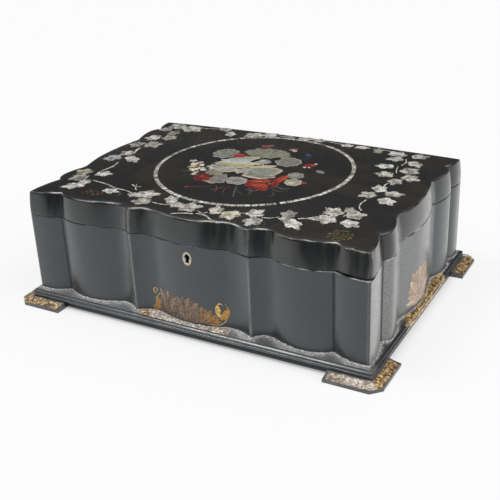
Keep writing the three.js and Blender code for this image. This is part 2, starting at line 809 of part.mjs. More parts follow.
function lidTop() {
  const steps = 3;
  const fieldShares = [0.86, 0.6, 0.3];
  const rolled = Array.from({ length: steps + 1 }, (_, i) => {
    const angle = (Math.PI / 2) * i / steps;
    const inwards = lidEdgeRadius * (1 - Math.cos(angle));
    return [-inwards, panelTop - lidEdgeRadius + lidEdgeRadius * Math.sin(angle)];
  });
  const domed = (outline, z) => outline.map(([x, y]) => [x, y, z + domeHeight(x, y)]);
  const edges = rolled.map(([offset, z]) => domed(serpentine(offset), z));
  const field = fieldShares.map((share) => {
    const [near, far] = about(halfDepth * share);
    return domed(straight({ right: halfLength * share, near, far }), panelTop);
  });
  return loft([at(serpentine(0), panelBottom), ...edges, ...field], [
    [0, 0, panelBottom],
    [0, 0, panelTop + lidRise],
  ]);
}

function lidRim() {
  const shell = wallBetween(serpentine(0), serpentine(-wallThickness), lidBottom, panelBottom);
  const leafTop = lidBottom + hingeLeafThickness;
  return cut(shell, [
    ...hingeMiddles.map((x) => leafRecess(x, [lidBottom - 1, leafTop + fitGap / 2])),
    ...hingeMiddles.flatMap((x) => hingeScrewPlaces(x, lidBottom)).map((place) => screwHole(place, true)),
  ]);
}

function lidFrame() {
  const frame = wallBetween(innerWall, straight(lidHole), lidBottom, panelBottom - glueGap);
  const plateSeat = block(about(lockPlateHalfLength + fitGap, lockX), [lockFront - fitGap, linerOut.near + 1],
    [lidBottom - 1, lidBottom + lockPlateThickness + fitGap / 2]);
  return cut(frame, [
    plateSeat,
    ...lockScrewPlaces(lidBottom).map((place) => screwHole(place, true)),
  ]);
}

// A pad with straight sides and a crowned face, from a rounded rectangle; up is 1 or -1
function pad({ right, left, near, far }, base, thickness, crown, up) {
  const widest = Math.min(right - left, far - near) / 2;
  const cornerRound = 0.24 * widest;
  const perCorner = 4;
  const ring = (inset, height) => {
    const radius = Math.max(cornerRound - inset, 1);
    const corners = [
      [right - inset - radius, near + inset + radius, -Math.PI / 2],
      [right - inset - radius, far - inset - radius, 0],
      [left + inset + radius, far - inset - radius, Math.PI / 2],
      [left + inset + radius, near + inset + radius, Math.PI],
    ];
    return corners.flatMap(([x, y, start]) => Array.from({ length: perCorner + 1 }, (_, i) => {
      const angle = start + (Math.PI / 2) * i / perCorner;
      return [x + radius * Math.cos(angle), y + radius * Math.sin(angle), base + up * height];
    }));
  };
  const side = thickness - crown;
  const softEdge = 0.5;
  const rings = [
    ring(softEdge, 0),
    ring(0, side * 0.4),
    ring(softEdge, side),
    ring(widest * 0.12, side + crown * 0.55),
    ring(widest * 0.4, side + crown * 0.9),
  ];
  const middle = [(left + right) / 2, (near + far) / 2];
  return loft(rings, [[...middle, base], [...middle, base + up * thickness]]);
}

function lidPad() {
  const { right, near, far } = grown(lidHole, -fitGap);
  return pad({ left: -right, right, near, far }, panelBottom - fitGap, lidPadThickness, lidPadCrown, -1);
}

// Tray: an open box on two ledges, with its dividers, pincushion and knobs

const trayTop = seamHeight - trayDrop;
const trayBottom = trayTop - trayDepth;
const trayFloor = trayBottom + trayWall;
const trayOut = grown(linerIn, -lipGap);
const trayIn = grown(trayOut, -trayWall);
const dividerTop = trayTop - dividerDrop;
const dividerHeights = [trayFloor, dividerTop];
const longDividerX = trayIn.right - sideBayWidth - dividerThickness / 2;
const troughNear = trayIn.far - troughWidth - dividerThickness;

function trayShell() {
  const { right, near, far } = trayOut;
  const outer = block([-right, right], [near, far], [trayBottom, trayTop]);
  const inner = block([-trayIn.right, trayIn.right], [trayIn.near, trayIn.far], [trayFloor, trayTop + 1]);
  return cut(outer, [inner]);
}

function addDividers() {
  const half = dividerThickness / 2;
  const sideBayInner = longDividerX + half;
  const middleHalf = longDividerX - half - glueGap;
  const bayDepth = (trayIn.far - trayIn.near - 2 * dividerThickness) / 3;
  for (const [side, sign] of [['left', -1], ['right', 1]]) {
    const span = (a, b) => (sign > 0 ? [a, b] : [-b, -a]);
    const board = (name, x, y) => add(name, block(span(...x), y, dividerHeights), paper);
    board(`divider_${side}`, about(half, longDividerX), [trayIn.near + glueGap, trayIn.far - glueGap]);
    for (const [place, step] of [['front', 1], ['back', 2]]) {
      const near = trayIn.near + step * bayDepth + (step - 1) * dividerThickness;
      board(`cross_divider_${side}_${place}`, [sideBayInner + glueGap, trayIn.right - glueGap],
        [near, near + dividerThickness]);
    }
    board(`cushion_divider_${side}`, [cushionBayWidth / 2, cushionBayWidth / 2 + dividerThickness],
      [trayIn.near + glueGap, troughNear - glueGap]);
  }
  add('trough_divider',
    block(about(middleHalf), [troughNear, troughNear + dividerThickness], dividerHeights), paper);
  const cushionFront = troughNear - cushionBayDepth - dividerThickness;
  const bayHalf = cushionBayWidth / 2 - glueGap;
  add('cushion_front_divider',
    block(about(bayHalf), [cushionFront, cushionFront + dividerThickness], dividerHeights), paper);
}

function pincushion() {
  const [left, right] = about(cushionBayWidth / 2 - fitGap);
  const near = troughNear - cushionBayDepth + fitGap;
  const room = { left, right, near, far: troughNear - fitGap };
  const base = trayFloor + fitGap;
  return pad(room, base, dividerTop + cushionCrown - base, cushionCrown, 1);
}

function trayKnob() {
  const foot = knobRadius * 0.75;
  const neck = knobRadius * 0.45;
  return turned([
    [0, 0],
    [foot, 0],
    [foot, knobHeight * 0.12],
    [neck, knobHeight * 0.3],
    [neck, knobHeight * 0.42],
    [knobRadius, knobHeight * 0.62],
    [knobRadius * 0.8, knobHeight * 0.88],
    [0, knobHeight],
  ], 16);
}

function addLedges() {
  const top = trayBottom - fitGap;
  const along = [linerIn.near + glueGap, linerIn.far - glueGap];
  const inner = linerIn.right - ledgeWidth;
  const outer = linerIn.right - glueGap;
  add('tray_ledge_left', block([-outer, -inner], along, [top - ledgeHeight, top]), wood);
  add('tray_ledge_right', block([inner, outer], along, [top - ledgeHeight, top]), wood);
}

function wellFloor() {
  const { right, near, far } = grown(linerIn, -fitGap);
  return block([-right, right], [near, far], [plinthTop, plinthTop + wellFloorThickness]);
}

// The box, from the table up

add('base_board', baseBoard(), wood);
add('plinth_moulding', plinthMoulding(), lacquer);
add('plinth_skirt', plinthSkirt(), gesso);
for (const [place, back] of [['front', false], ['back', true]]) {
  add(`foot_${place}_left`, bracketFoot(true, back), lacquer);
  add(`foot_${place}_right`, bracketFoot(false, back), lacquer);
}
add('carcass_wall', carcassWall(), lacquer);
add('rim_frame', rimFrame(), wood);
addLiners();
add('well_floor', wellFloor(), paper);
addLedges();

add('lock_case', lockCase(), brass);
add('lock_bolt', lockBolt(), steel);
add('escutcheon', escutcheon(), pearl);
lockScrewPlaces(seamHeight).forEach((place, i) => add(`lock_screw_${i + 1}`, screw(place, false), brass));

add('lid_top', lidTop(), lacquer);
add('lid_rim', lidRim(), lacquer);
add('lid_frame', lidFrame(), wood);
add('lid_pad', lidPad(), silk);
add('link_plate', linkPlate(), brass);
lockScrewPlaces(lidBottom).forEach((place, i) => add(`link_screw_${i + 1}`, screw(place, true), brass));

for (const [side, middle] of [['left', -hingePlace], ['right', hingePlace]]) {
  add(`hinge_${side}_body_leaf`, hingeLeaf(middle, false), brass);
  add(`hinge_${side}_lid_leaf`, hingeLeaf(middle, true), brass);
  add(`hinge_${side}_pin`, hingePin(middle), steel);
  hingeScrewPlaces(middle, seamHeight).forEach((place, i) =>
    add(`hinge_${side}_body_screw_${i + 1}`, screw(place, false), brass));
  hingeScrewPlaces(middle, lidBottom).forEach((place, i) =>
    add(`hinge_${side}_lid_screw_${i + 1}`, screw(place, true), brass));
}

add('tray_shell', trayShell(), paper);
addDividers();
add('pincushion', pincushion(), velvet);
const knobY = (trayIn.near + troughNear) / 2;
add('tray_knob_left', trayKnob(), pearl, [-longDividerX, knobY, dividerTop]);
add('tray_knob_right', trayKnob(), pearl, [longDividerX, knobY, dividerTop]);

export default model;
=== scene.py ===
# %% [markdown]
# # A lacquered sewing box
# The box is papier-mache, covered with black lacquer and inlaid with mother-of-pearl. Its exact
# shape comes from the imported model, which is loaded here as a fixed frame. Everything below dresses
# that frame: smooth walls and lid, pearl inlay, paint and gilding, and the linings inside.
# %% Load the frame
import json
import math

import bmesh
import bpy
import numpy as np
from mathutils import Matrix, Vector, noise


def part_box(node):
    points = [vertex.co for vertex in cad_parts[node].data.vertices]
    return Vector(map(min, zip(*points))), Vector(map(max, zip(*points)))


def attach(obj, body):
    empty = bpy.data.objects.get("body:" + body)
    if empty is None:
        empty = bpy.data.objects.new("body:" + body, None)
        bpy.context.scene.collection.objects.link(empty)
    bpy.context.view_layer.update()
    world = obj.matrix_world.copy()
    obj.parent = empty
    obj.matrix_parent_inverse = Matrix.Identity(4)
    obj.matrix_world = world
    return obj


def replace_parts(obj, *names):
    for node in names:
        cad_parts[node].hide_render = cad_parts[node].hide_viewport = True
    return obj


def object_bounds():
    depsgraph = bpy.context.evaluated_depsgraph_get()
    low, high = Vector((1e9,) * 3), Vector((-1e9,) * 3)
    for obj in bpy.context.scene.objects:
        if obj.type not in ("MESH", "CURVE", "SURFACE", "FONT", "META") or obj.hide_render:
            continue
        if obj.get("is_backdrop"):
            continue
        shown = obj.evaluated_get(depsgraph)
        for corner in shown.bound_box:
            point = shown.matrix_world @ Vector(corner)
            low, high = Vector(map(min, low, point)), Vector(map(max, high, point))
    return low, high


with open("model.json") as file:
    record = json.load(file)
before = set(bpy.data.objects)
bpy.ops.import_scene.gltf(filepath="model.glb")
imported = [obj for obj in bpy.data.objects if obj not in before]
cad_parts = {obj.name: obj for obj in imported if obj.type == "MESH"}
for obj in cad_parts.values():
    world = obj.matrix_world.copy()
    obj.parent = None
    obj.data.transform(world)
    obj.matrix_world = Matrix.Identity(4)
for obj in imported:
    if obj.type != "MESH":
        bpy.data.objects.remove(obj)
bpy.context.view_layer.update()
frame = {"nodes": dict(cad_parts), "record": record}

# %% [markdown]
# ## Small helpers
# The box is easier to think about in millimetres, so shapes are made in millimetres and turned into
# metres in one place. A lofted piece is a stack of rings with equally many points, which gives clean
# quads and smooth highlights on polished lacquer.
# %% Helpers for meshes
MM = 0.001


def add_object(name, data):
    made = bpy.data.objects.new(name, data)
    bpy.context.scene.collection.objects.link(made)
    return made


def add_mesh(name, points, faces):
    mesh = bpy.data.meshes.new(name)
    mesh.from_pydata((np.asarray(points, float) * MM).tolist(), [], faces)
    return add_object(name, mesh)


def shade(piece, sharp=35):
    """Smooth, apart from edges that are sharper than so many degrees."""
    piece.data.shade_smooth()
    piece.data.set_sharp_from_angle(angle=math.radians(sharp))


def face_outwards(piece):
    edit = bmesh.new()
    edit.from_mesh(piece.data)
    bmesh.ops.recalc_face_normals(edit, faces=edit.faces)
    edit.to_mesh(piece.data)
    edit.free()
    return piece


def make_piece(name, points, faces, material, body, sharp=35):
    """A closed mesh in millimetres becomes a piece that rides on a body."""
    piece = add_mesh(name, points, faces)
    shade(piece, sharp)
    piece.data.materials.append(material)
    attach(piece, body)
    return face_outwards(piece)


def loft_faces(count, size, capped):
    """Quads between rings. Capped lofts end in fans round two extra points at the end."""
    first, last = count * size, (count - 1) * size
    pairs = [(i, (i + 1) % size) for i in range(size)]
    faces = [(r * size + i, r * size + j, (r + 1) % count * size + j, (r + 1) % count * size + i)
             for r in range(count - capped) for i, j in pairs]
    return faces + [fan for i, j in pairs for fan in ((first, j, i), (first + 1, last + i, last + j)) if capped]


def bar_faces(count, size):
    """Quads between rings, with one many-sided face at each end."""
    last = (count - 1) * size
    return loft_faces(count, size, False)[:-size] + [tuple(range(size))[::-1], tuple(range(last, last + size))]


def loft_piece(name, rings, material, body, centres=None, sharp=35):
    """A closed piece from rings of points, with its ends joined or closed by two centres."""
    points = np.concatenate(rings if centres is None else [*rings, centres])
    faces = loft_faces(len(rings), len(rings[0]), centres is not None)
    return make_piece(name, points, faces, material, body, sharp)


def lumps(places, z, size):
    """Smooth noise from -1 to 1 at every place, with lumps about size millimetres wide."""
    heights = np.broadcast_to(z, len(places))
    return np.array([noise.noise(Vector((x, y, h)) / size) for (x, y), h in zip(places[:, :2], heights)])


def patches(places, z, size, middle, strength):
    """Lumps as shares from 0 to 1."""
    return np.clip(middle + strength * lumps(places, z, size), 0, 1)


def zone(values, low, high, soft):
    """1 between low and high, easing to 0 over a soft border."""
    share = np.clip(np.minimum(values - low, high - values) / soft + 0.5, 0, 1)
    return share * share * (3 - 2 * share)


def add_marks(piece, **marks):
    """A number for every point under each name, for the piece's material to read."""
    for name, values in marks.items():
        made = piece.data.attributes.new(name, "FLOAT", "POINT")
        made.data.foreach_set("value", np.concatenate(values).astype(np.float32))


print("a loft of 3 rings with 4 points has", len(loft_faces(3, 4, True)), "faces")

# %% [markdown]
# ## Finishes
# Every finish is a small graph of nodes on one Principled shader. A wire stands for one number or
# colour in it. Wires add, subtract and multiply as numbers do, so a graph reads like a sum.
# %% Helpers for materials
class Wire:
    """A number or colour that nodes work out."""

    def __init__(self, graph, socket):
        self.graph, self.socket = graph, socket

    def __add__(self, other):
        return self.graph.math("ADD", self, other)

    def __sub__(self, other):
        return self.graph.math("SUBTRACT", self, other)

    def __rsub__(self, other):
        return self.graph.math("SUBTRACT", other, self)

    def __mul__(self, other):
        return self.graph.math("MULTIPLY", self, other)

    def clamped(self):
        self.socket.node.use_clamp = True
        return self

    def to(self, low, high, start=0.0, end=1.0):
        """Maps low..high smoothly to start..end."""
        ends = {"Value": self, "From Min": low, "From Max": high, "To Min": start, "To Max": end}
        return self.graph.wire("MapRange", "Result", ends, interpolation_type="SMOOTHSTEP")


class Graph:
    """Short ways to add nodes to a tree. Inputs go by their names or numbers."""

    def __init__(self, tree, place):
        self.tree = tree
        self.place = self.wire("TexCoord", place)

    def put(self, socket, value):
        if isinstance(value, Wire):
            self.tree.links.new(value.socket, socket)
        elif isinstance(value, tuple) and len(value) == 3 and len(socket.default_value) == 4:
            socket.default_value = (*value, 1)
        else:
            socket.default_value = value

    def node(self, kind, inputs, **settings):
        made = self.tree.nodes.new("ShaderNode" + kind)
        for key, value in settings.items():
            setattr(made, key, value)
        for key, value in inputs.items():
            self.put(made.inputs[key], value)
        return made

    def wire(self, kind, output, inputs=None, **settings):
        return Wire(self, self.node(kind, inputs or {}, **settings).outputs[output])

    def math(self, operation, a, b=0.0):
        return self.wire("Math", 0, {0: a, 1: b}, operation=operation)

    def mix(self, share, a, b, blend_type="MIX"):
        inputs = {"Factor": share, "A": a, "B": b}
        return self.wire("Mix", "Result", inputs, data_type="RGBA", blend_type=blend_type)

    def along(self, axis):
        """The place, or for the sky the direction, along X, Y or Z."""
        return self.wire("SeparateXYZ", axis, {0: self.place})


class Finish(Graph):
    """A new material around one Principled shader."""

    def __init__(self, name):
        self.material = bpy.data.materials.new(name)
        self.material.use_nodes = True
        super().__init__(self.material.node_tree, "Object")
        self.shader = self.tree.nodes["Principled BSDF"]
        self.look = {}

    def set(self, **inputs):
        self.look.update(inputs)
        for key, value in inputs.items():
            self.put(self.shader.inputs[key.replace("_", " ")], value)

    def scaled(self, size, stretch=(1, 1, 1)):
        scale = tuple(1000 / (size * s) for s in stretch)
        return self.wire("Mapping", 0, {"Vector": self.place, "Scale": scale})

    def grain(self, size, detail=3, rough=0.55, stretch=(1, 1, 1)):
        """Noise whose lumps are about size millimetres wide, drawn out by stretch."""
        inputs = {"Vector": self.scaled(size, stretch), "Scale": 1, "Detail": detail, "Roughness": rough}
        return self.wire("TexNoise", "Fac", inputs)

    def mark(self, name, output="Fac"):
        return self.wire("Attribute", output, attribute_name=name)

    def bump(self, height, depth, strength=1.0):
        """Relief whose full height is depth millimetres."""
        inputs = {"Strength": strength, "Distance": depth * MM, "Height": height}
        self.set(Normal=self.wire("Bump", 0, inputs))


# %% [markdown]
# ## Black lacquer
# Japanning is many thin coats of black varnish, rubbed down and polished by hand. It is nearly black,
# so its look is almost all reflection: a clear coat over a duller black, browned on the lid where old
# varnish has faded. Two noises of different size do this better than one, because handling marks are
# much smaller than the fading. Rims and ridges are rubbed grey, which also paints highlights along
# them, and a mark on the mesh says where. Another mark paints notches, gaps and stretches of the
# lid's side black without polish, as painted shade and painted dark reflection.
# %% Lacquer of the walls
def lacquer(name, base, faded, gloss, dull, fade_size, under=0.5, coat=0.9, coat_gloss=0.08, haze=0.0):
    """Rubbed black under a clear coat. The mark of wear and highlights paints it grey: worn rims, and painted
    highlights along rims, ridges and arrises. The mark of painted shade paints it black and takes its polish
    away.
    """
    finish = Finish(name)
    fade = finish.grain(fade_size, 4).to(0.42, 0.68)
    smudge = finish.grain(9, 5, 0.62).to(0.35, 0.75, gloss, dull)
    # Grey from the wear mark: real rubbing, and painted highlights where rims and ridges would catch light.
    worn = (finish.mark("wear") * finish.grain(1.3, 4, 0.7).to(0.3, 0.6, 0.35)).clamped()
    # The painted shade mark: near-black colour and less coat, as painted shade and painted dark reflection.
    deep = finish.mark("deep")
    colour = finish.mix(worn, finish.mix(fade, base, faded), (0.77, 0.75, 0.735))
    finish.set(Base_Color=finish.mix(deep, colour, (0.003, 0.003, 0.003)),
               Roughness=smudge + worn * 0.2 + deep * 0.3, Specular_IOR_Level=under,
               Specular_Tint=(0.84, 0.94, 1.0), Coat_Weight=(coat - deep * 0.85).clamped(),
               Coat_Roughness=coat_gloss, Coat_IOR=1.5, Sheen_Weight=haze, Sheen_Roughness=0.4)
    return finish


walls = lacquer("black_lacquer", (0.0080, 0.0108, 0.0135), (0.0135, 0.0165, 0.0190), 0.26, 0.38, 45, 0.5, 1.0,
                0.27, 0.12)
walls.bump(walls.grain(16, 4, 0.5), 0.05, 0.5)
lid_coat = lacquer("lid_lacquer", (0.0045, 0.0046, 0.0046), (0.0190, 0.0135, 0.0085), 0.2, 0.34, 42, 0.4, 0.9,
                   0.19)
lid_coat.bump(lid_coat.grain(12, 4, 0.5), 0.04, 0.5)
print("lacquers:", walls.material.name, lid_coat.material.name)

# %% Composition, gilding and crust
comp = lacquer("composition", (0.072, 0.076, 0.080), (0.125, 0.127, 0.128), 0.26, 0.4, 22)
# The dark mark: painted shade on the plinth's fascia, and darker stretches on the sides of the plinth and
# skirt.
chips, soot = comp.grain(1.2, 4, 0.7).to(0.66, 0.70, 0, 0.75), comp.mark("soot")
plain = comp.mix(soot, comp.mix(chips, comp.look["Base_Color"], (0.36, 0.36, 0.35)), (0.004, 0.004, 0.0045))
speckle = comp.grain(0.8, 3, 0.7)
crust = (comp.mark("crust") * speckle.to(0.4, 0.56, 0.2)).clamped()
crust_colour = comp.mix(comp.grain(1.3, 4, 0.7).to(0.42, 0.6), (0.36, 0.35, 0.33), (1.0, 0.99, 0.95))
gilt, pale = comp.mark("gilt"), comp.mark("pale")
leaf_gold = (comp.grain(3.0, 4, 0.82, (1, 1, 0.8)).to(0.475, 0.52) * gilt.to(0.15, 0.6)).clamped()
gold = comp.mix(comp.grain(3.6, 3, 0.7).to(0.42, 0.6), (0.66, 0.32, 0.05), (1.0, 0.80, 0.36))
beige = comp.mix(comp.grain(2.4, 4, 0.75).to(0.4, 0.62), (0.46, 0.36, 0.29), (0.95, 0.87, 0.74))
ground = comp.mix(pale, (0.075, 0.026, 0.018), (0.26, 0.20, 0.165))
stained = comp.mix((gilt * 0.85).clamped(), comp.mix(crust, plain, crust_colour), ground)
comp.set(Base_Color=comp.mix(leaf_gold, stained, comp.mix(pale, gold, beige)),
         Roughness=comp.math("MAXIMUM", comp.look["Roughness"], crust * 0.75), Metallic=leaf_gold * 0.3,
         Coat_Weight=(0.8 - comp.math("MAXIMUM", crust, soot) * 0.75).clamped())
comp.bump(speckle * crust + leaf_gold * 0.12, 0.35, 0.8)
print("composition nodes:", len(comp.tree.nodes))

# %% [markdown]
# ## Mother-of-pearl
# Nacre is a stack of clear plates. It has a pale sheen that turns pink and green as it is tilted, which
# Layer Weight can imitate, and faint growth bands from stretched noise. The engraved veins were
# rubbed with black, and they come from a mark on the mesh.
# %% Shell and escutcheon finishes
SHEEN = (1.0, 0.93, 0.90), (0.98, 0.965, 0.92), (0.92, 0.96, 0.98)  # facing, half turned, at a slant


def nacre(name, tinted, bands, contrast=1.0):
    finish = Finish(name)
    growth, cloud = finish.grain(bands, 4, 0.65, (1, 0.3, 1)), finish.grain(4.5, 3, 0.6)
    facing = finish.wire("LayerWeight", "Facing", {"Blend": 0.4})
    sheen = finish.node("ValToRGB", {"Fac": (facing + cloud * 1.3).to(0.6, 1.7)})
    sheen.color_ramp.elements.new(0.5)
    for stop, colour in zip(sheen.color_ramp.elements, SHEEN):
        stop.color = (*colour, 1)
    light = growth.to(0.36, 0.64, 1 - 0.55 * contrast, 1 + 0.5 * contrast)
    patch = finish.grain(6.5, 3, 0.6).to(0.4, 0.6, 1 - 0.45 * contrast, 1 + 0.35 * contrast)
    strength = light * patch if tinted else growth.to(0.38, 0.62, 0.55)
    base = finish.mark("tint", "Color") if tinted else (0.86, 0.79, 0.66)
    colour = finish.mix(1.0, base, Wire(finish, sheen.outputs["Color"]), "MULTIPLY")
    shell = finish.wire("VectorMath", "Vector", {0: colour, "Scale": strength}, operation="SCALE")
    veins = finish.mark("line").to(0.3, 0.75)
    finish.set(Base_Color=finish.mix(veins, shell, (0.02, 0.02, 0.018)),
               Roughness=cloud.to(0.3, 0.7, 0.16, 0.36), Metallic=0.15, Specular_IOR_Level=0.7)
    finish.bump(growth, 0.06, 0.6)
    return finish.material


pearl_shell = nacre("pearl_shell", True, 1.3)
petal_shell = nacre("petal_shell", True, 3.2, 0.22)
carved_pearl = nacre("carved_pearl", False, 1.1)
print("pearl finishes:", pearl_shell.name, petal_shell.name, carved_pearl.name)


# %% Painted and gilded strokes
def painted(name, gloss, metal):
    finish = Finish(name)
    strokes = finish.grain(1.4, 4, 0.65, (1, 0.5, 1))
    streaks = finish.mix(strokes.to(0.36, 0.62), (0.22, 0.20, 0.20), (1.15, 1.12, 1.1))
    colour = finish.mix(0.85, finish.mark("tint", "Color"), streaks, "MULTIPLY")
    worn = finish.grain(1.1, 3, 0.7).to(0.60, 0.68) * 0.6
    finish.set(Base_Color=finish.mix(worn, colour, (0.02, 0.018, 0.016)),
               Roughness=strokes.to(0.3, 0.7, gloss, gloss + 0.18), Metallic=metal)
    finish.bump(strokes, 0.05, 0.6)
    return finish.material


flower_paint, gilt_paint = painted("flower_paint", 0.3, 0.0), painted("gilt_paint", 0.28, 0.35)
print("paints:", flower_paint.name, gilt_paint.name)

# %% [markdown]
# ## The serpentine outline
# Seen from above, each side of the box is a chain of arcs: humps swell out, dips run in, and where two
# dips or two humps meet there is a sharp ridge or a notch. The frame holds the same curve as straight
# facets. Polished lacquer would show them, so the curve is made again from its arcs with a point
# every millimetre. A light smoothing then rounds the ridges and notches as layers of varnish do.
# %% Arcs of the front and the sides
HALF_LENGTH, HALF_DEPTH = 165.0, 115.0
CORNER_RADIUS, CORNER_FLAT = 3.0, 8.0
CORNER_STEPS, BACK_STEPS = 8, 90
POINT_SPACING = 1.0
SEAM, LID_BOTTOM, PANEL_BOTTOM, PANEL_TOP = 86.5, 86.9, 103.4, 109.0


def hump(at, top, radius):
    """An arc as its centre along and across, its radius, and 1 where it swells out."""
    return at, top - radius, radius, 1.0


def dip(at, bottom, radius):
    return at, bottom + radius, radius, -1.0


def hump_radius(span, fall, dip_radius=0.0):
    return (span * span - 2 * dip_radius * fall + fall * fall) / (2 * fall)


def front_arcs(half, valley, second, shoulder, notch):
    """Half a front. Its places are counted from the middle of the bulge."""
    lobe = half - CORNER_FLAT
    return [hump(0, 0.5, hump_radius(valley, 5.0, 22)), dip(valley, -4.5, 22), dip(valley, -4.5, 50),
            dip(second, -5.5, 21), hump(shoulder, 0.1, hump_radius(shoulder - second, 5.6, 21)),
            hump(shoulder, 0.1, hump_radius(notch - shoulder, 5.6)),
            hump(lobe, 0, hump_radius(lobe - notch, 5.5))]


def side_arcs(half, valley, shoulder, notch):
    lobe = half - CORNER_FLAT
    return [hump(0, 0.6, hump_radius(valley, 5.6, 12)), dip(valley, -5, 12),
            hump(shoulder, 0.7, hump_radius(shoulder - valley, 5.7, 12)),
            hump(shoulder, 0.7, hump_radius(notch - shoulder, 6.0)),
            hump(lobe, 0, hump_radius(lobe - notch, 5.3))]


def two_halves(half, middle_share, make_arcs, *shares):
    """A side was drawn by hand, so its two halves differ a little. Each is counted from the bulge's middle."""
    middle = middle_share * half
    reaches = half - middle, half + middle
    return middle, [(reach, make_arcs(reach, *(share * half + reach - half for share in places)))
                    for reach, places in zip(reaches, shares)]


FRONT = two_halves(HALF_LENGTH, 0.02, front_arcs, (0.2385, 0.4545, 0.6545, 0.8061),
                   (0.207, 0.42, 0.6485, 0.797))
SIDE = two_halves(HALF_DEPTH, 0.0261, side_arcs, (0.4087, 0.6609, 0.7739), (0.3391, 0.565, 0.68))
print("middle of the front bulge:", round(FRONT[0], 1), "mm; of the side bulge:", round(SIDE[0], 1), "mm")

# %% Points along the outline
def arc_radius(arc, offset):
    return arc[2] + arc[3] * offset


def meeting(a, b, offset):
    """Where two neighbouring arcs meet once both are moved out by offset."""
    across, up = b[0] - a[0], b[1] - a[1]
    apart = math.hypot(across, up)
    radius = arc_radius(a, offset)
    if apart < 1e-6:
        return a[0], a[1] + radius
    along = (apart**2 + radius**2 - arc_radius(b, offset) ** 2) / (2 * apart)
    rise = a[3] * math.sqrt(max(0.0, radius**2 - along**2))
    return a[0] + (along * across - rise * up) / apart, a[1] + (along * up + rise * across) / apart


def arc_ends(arcs, offset, limit):
    first, lobe = arcs[0], arcs[-1]
    return [(first[0], first[1] + arc_radius(first, offset)),
            *(meeting(a, b, offset) for a, b in zip(arcs, arcs[1:])),
            (min(lobe[0], limit), lobe[1] + arc_radius(lobe, offset))]


def half_side(reach, arcs, offset):
    """Half a side moved out by offset, from the bulge's middle to the corner, without its first point."""
    plain = arc_ends(arcs, 0, 1e9)
    counts = [max(4, round(math.dist(p, q) / POINT_SPACING)) for p, q in zip(plain, plain[1:])]
    ends = arc_ends(arcs, offset, reach + offset - max(CORNER_RADIUS + offset, 0.5) - 0.5)
    line = []
    for arc, steps, start, end in zip(arcs, counts, ends, ends[1:]):
        angles = [math.atan2(u - arc[0], arc[3] * (v - arc[1])) for u, v in (start, end)]
        turn = angles[0] + (angles[1] - angles[0]) * np.arange(1, steps + 1) / steps
        line.append(np.stack([np.sin(turn), arc[3] * np.cos(turn)], 1) * arc_radius(arc, offset) + arc[:2])
    return np.concatenate(line)


def wavy_side(side, offset):
    """A whole side moved out by offset, as distance along and distance out."""
    middle, (up, down) = side
    crest = up[1][0][1] + arc_radius(up[1][0], offset)
    halves = half_side(*down, offset)[::-1] * (-1, 1), [(0, crest)], half_side(*up, offset)
    return np.concatenate(halves) + (middle, 0)


def corner(x, y, radius, quarter):
    turn = np.pi / 2 * (quarter + np.arange(CORNER_STEPS + 1) / CORNER_STEPS)
    return np.stack([x + radius * np.cos(turn), y + radius * np.sin(turn)], 1)


def all_round(front, side, right, far, radius):
    """The four sides and corners, anticlockwise from the front left."""
    x, y = right - radius, far - radius
    back = np.linspace(x, -x, BACK_STEPS + 2)[1:-1]
    return np.concatenate([
        np.stack([front[:, 0], -far - front[:, 1]], 1), corner(x, -y, radius, -1),
        np.stack([right + side[:, 1], side[:, 0]], 1), corner(x, y, radius, 0),
        np.stack([back, np.full(BACK_STEPS, far)], 1), corner(-x, y, radius, 1),
        np.stack([-right - side[:, 1], side[:, 0]], 1)[::-1], corner(-x, -y, radius, 2)])


def serpentine(offset):
    """The outline of the wall moved out by offset, with its ridges and notches rounded."""
    lines = [wavy_side(side, offset) - (0, offset) for side in (FRONT, SIDE)]
    line = all_round(*lines, HALF_LENGTH + offset, HALF_DEPTH + offset, max(CORNER_RADIUS + offset, 0.5))
    for _ in range(2):
        line = (np.roll(line, 1, 0) + 2 * line + np.roll(line, -1, 0)) / 4
    return line


def straight(right, far, radius=0.5):
    """A straight-sided outline whose points pair up with those of the serpentine one."""
    front = wavy_side(FRONT, 0) * ((right - radius) / HALF_LENGTH, 0)
    side = wavy_side(SIDE, 0) * ((far - radius) / HALF_DEPTH, 0)
    return all_round(front, side, right, far, radius)


def raised(outline, z):
    return np.column_stack([outline, np.broadcast_to(z, len(outline))])


print("points round the box:", len(serpentine(0)))

# %% [markdown]
# ## The case wall
# The wall is one tall ring. Its rim at the seam is rounded by half a millimetre: that tiny edge is what
# catches the light as a fine pale line under the lid, and the rim is painted pale as well, partly wear
# and partly painted highlight. Notches are painted black as painted shade, and the right side is painted
# lighter as painted glare. The hinge recesses, the keyhole and the
# seat of its plate are cut with Boolean modifiers, which are applied straight away.
# %% Wall of the case
def turning(outline):
    """How far the outline turns at each point, in radians. Ridges turn outwards, notches inwards."""
    ahead = np.roll(outline, -1, 0) - outline
    before = np.roll(ahead, 1, 0)
    return np.arctan2(before[:, 0] * ahead[:, 1] - before[:, 1] * ahead[:, 0], (before * ahead).sum(1))


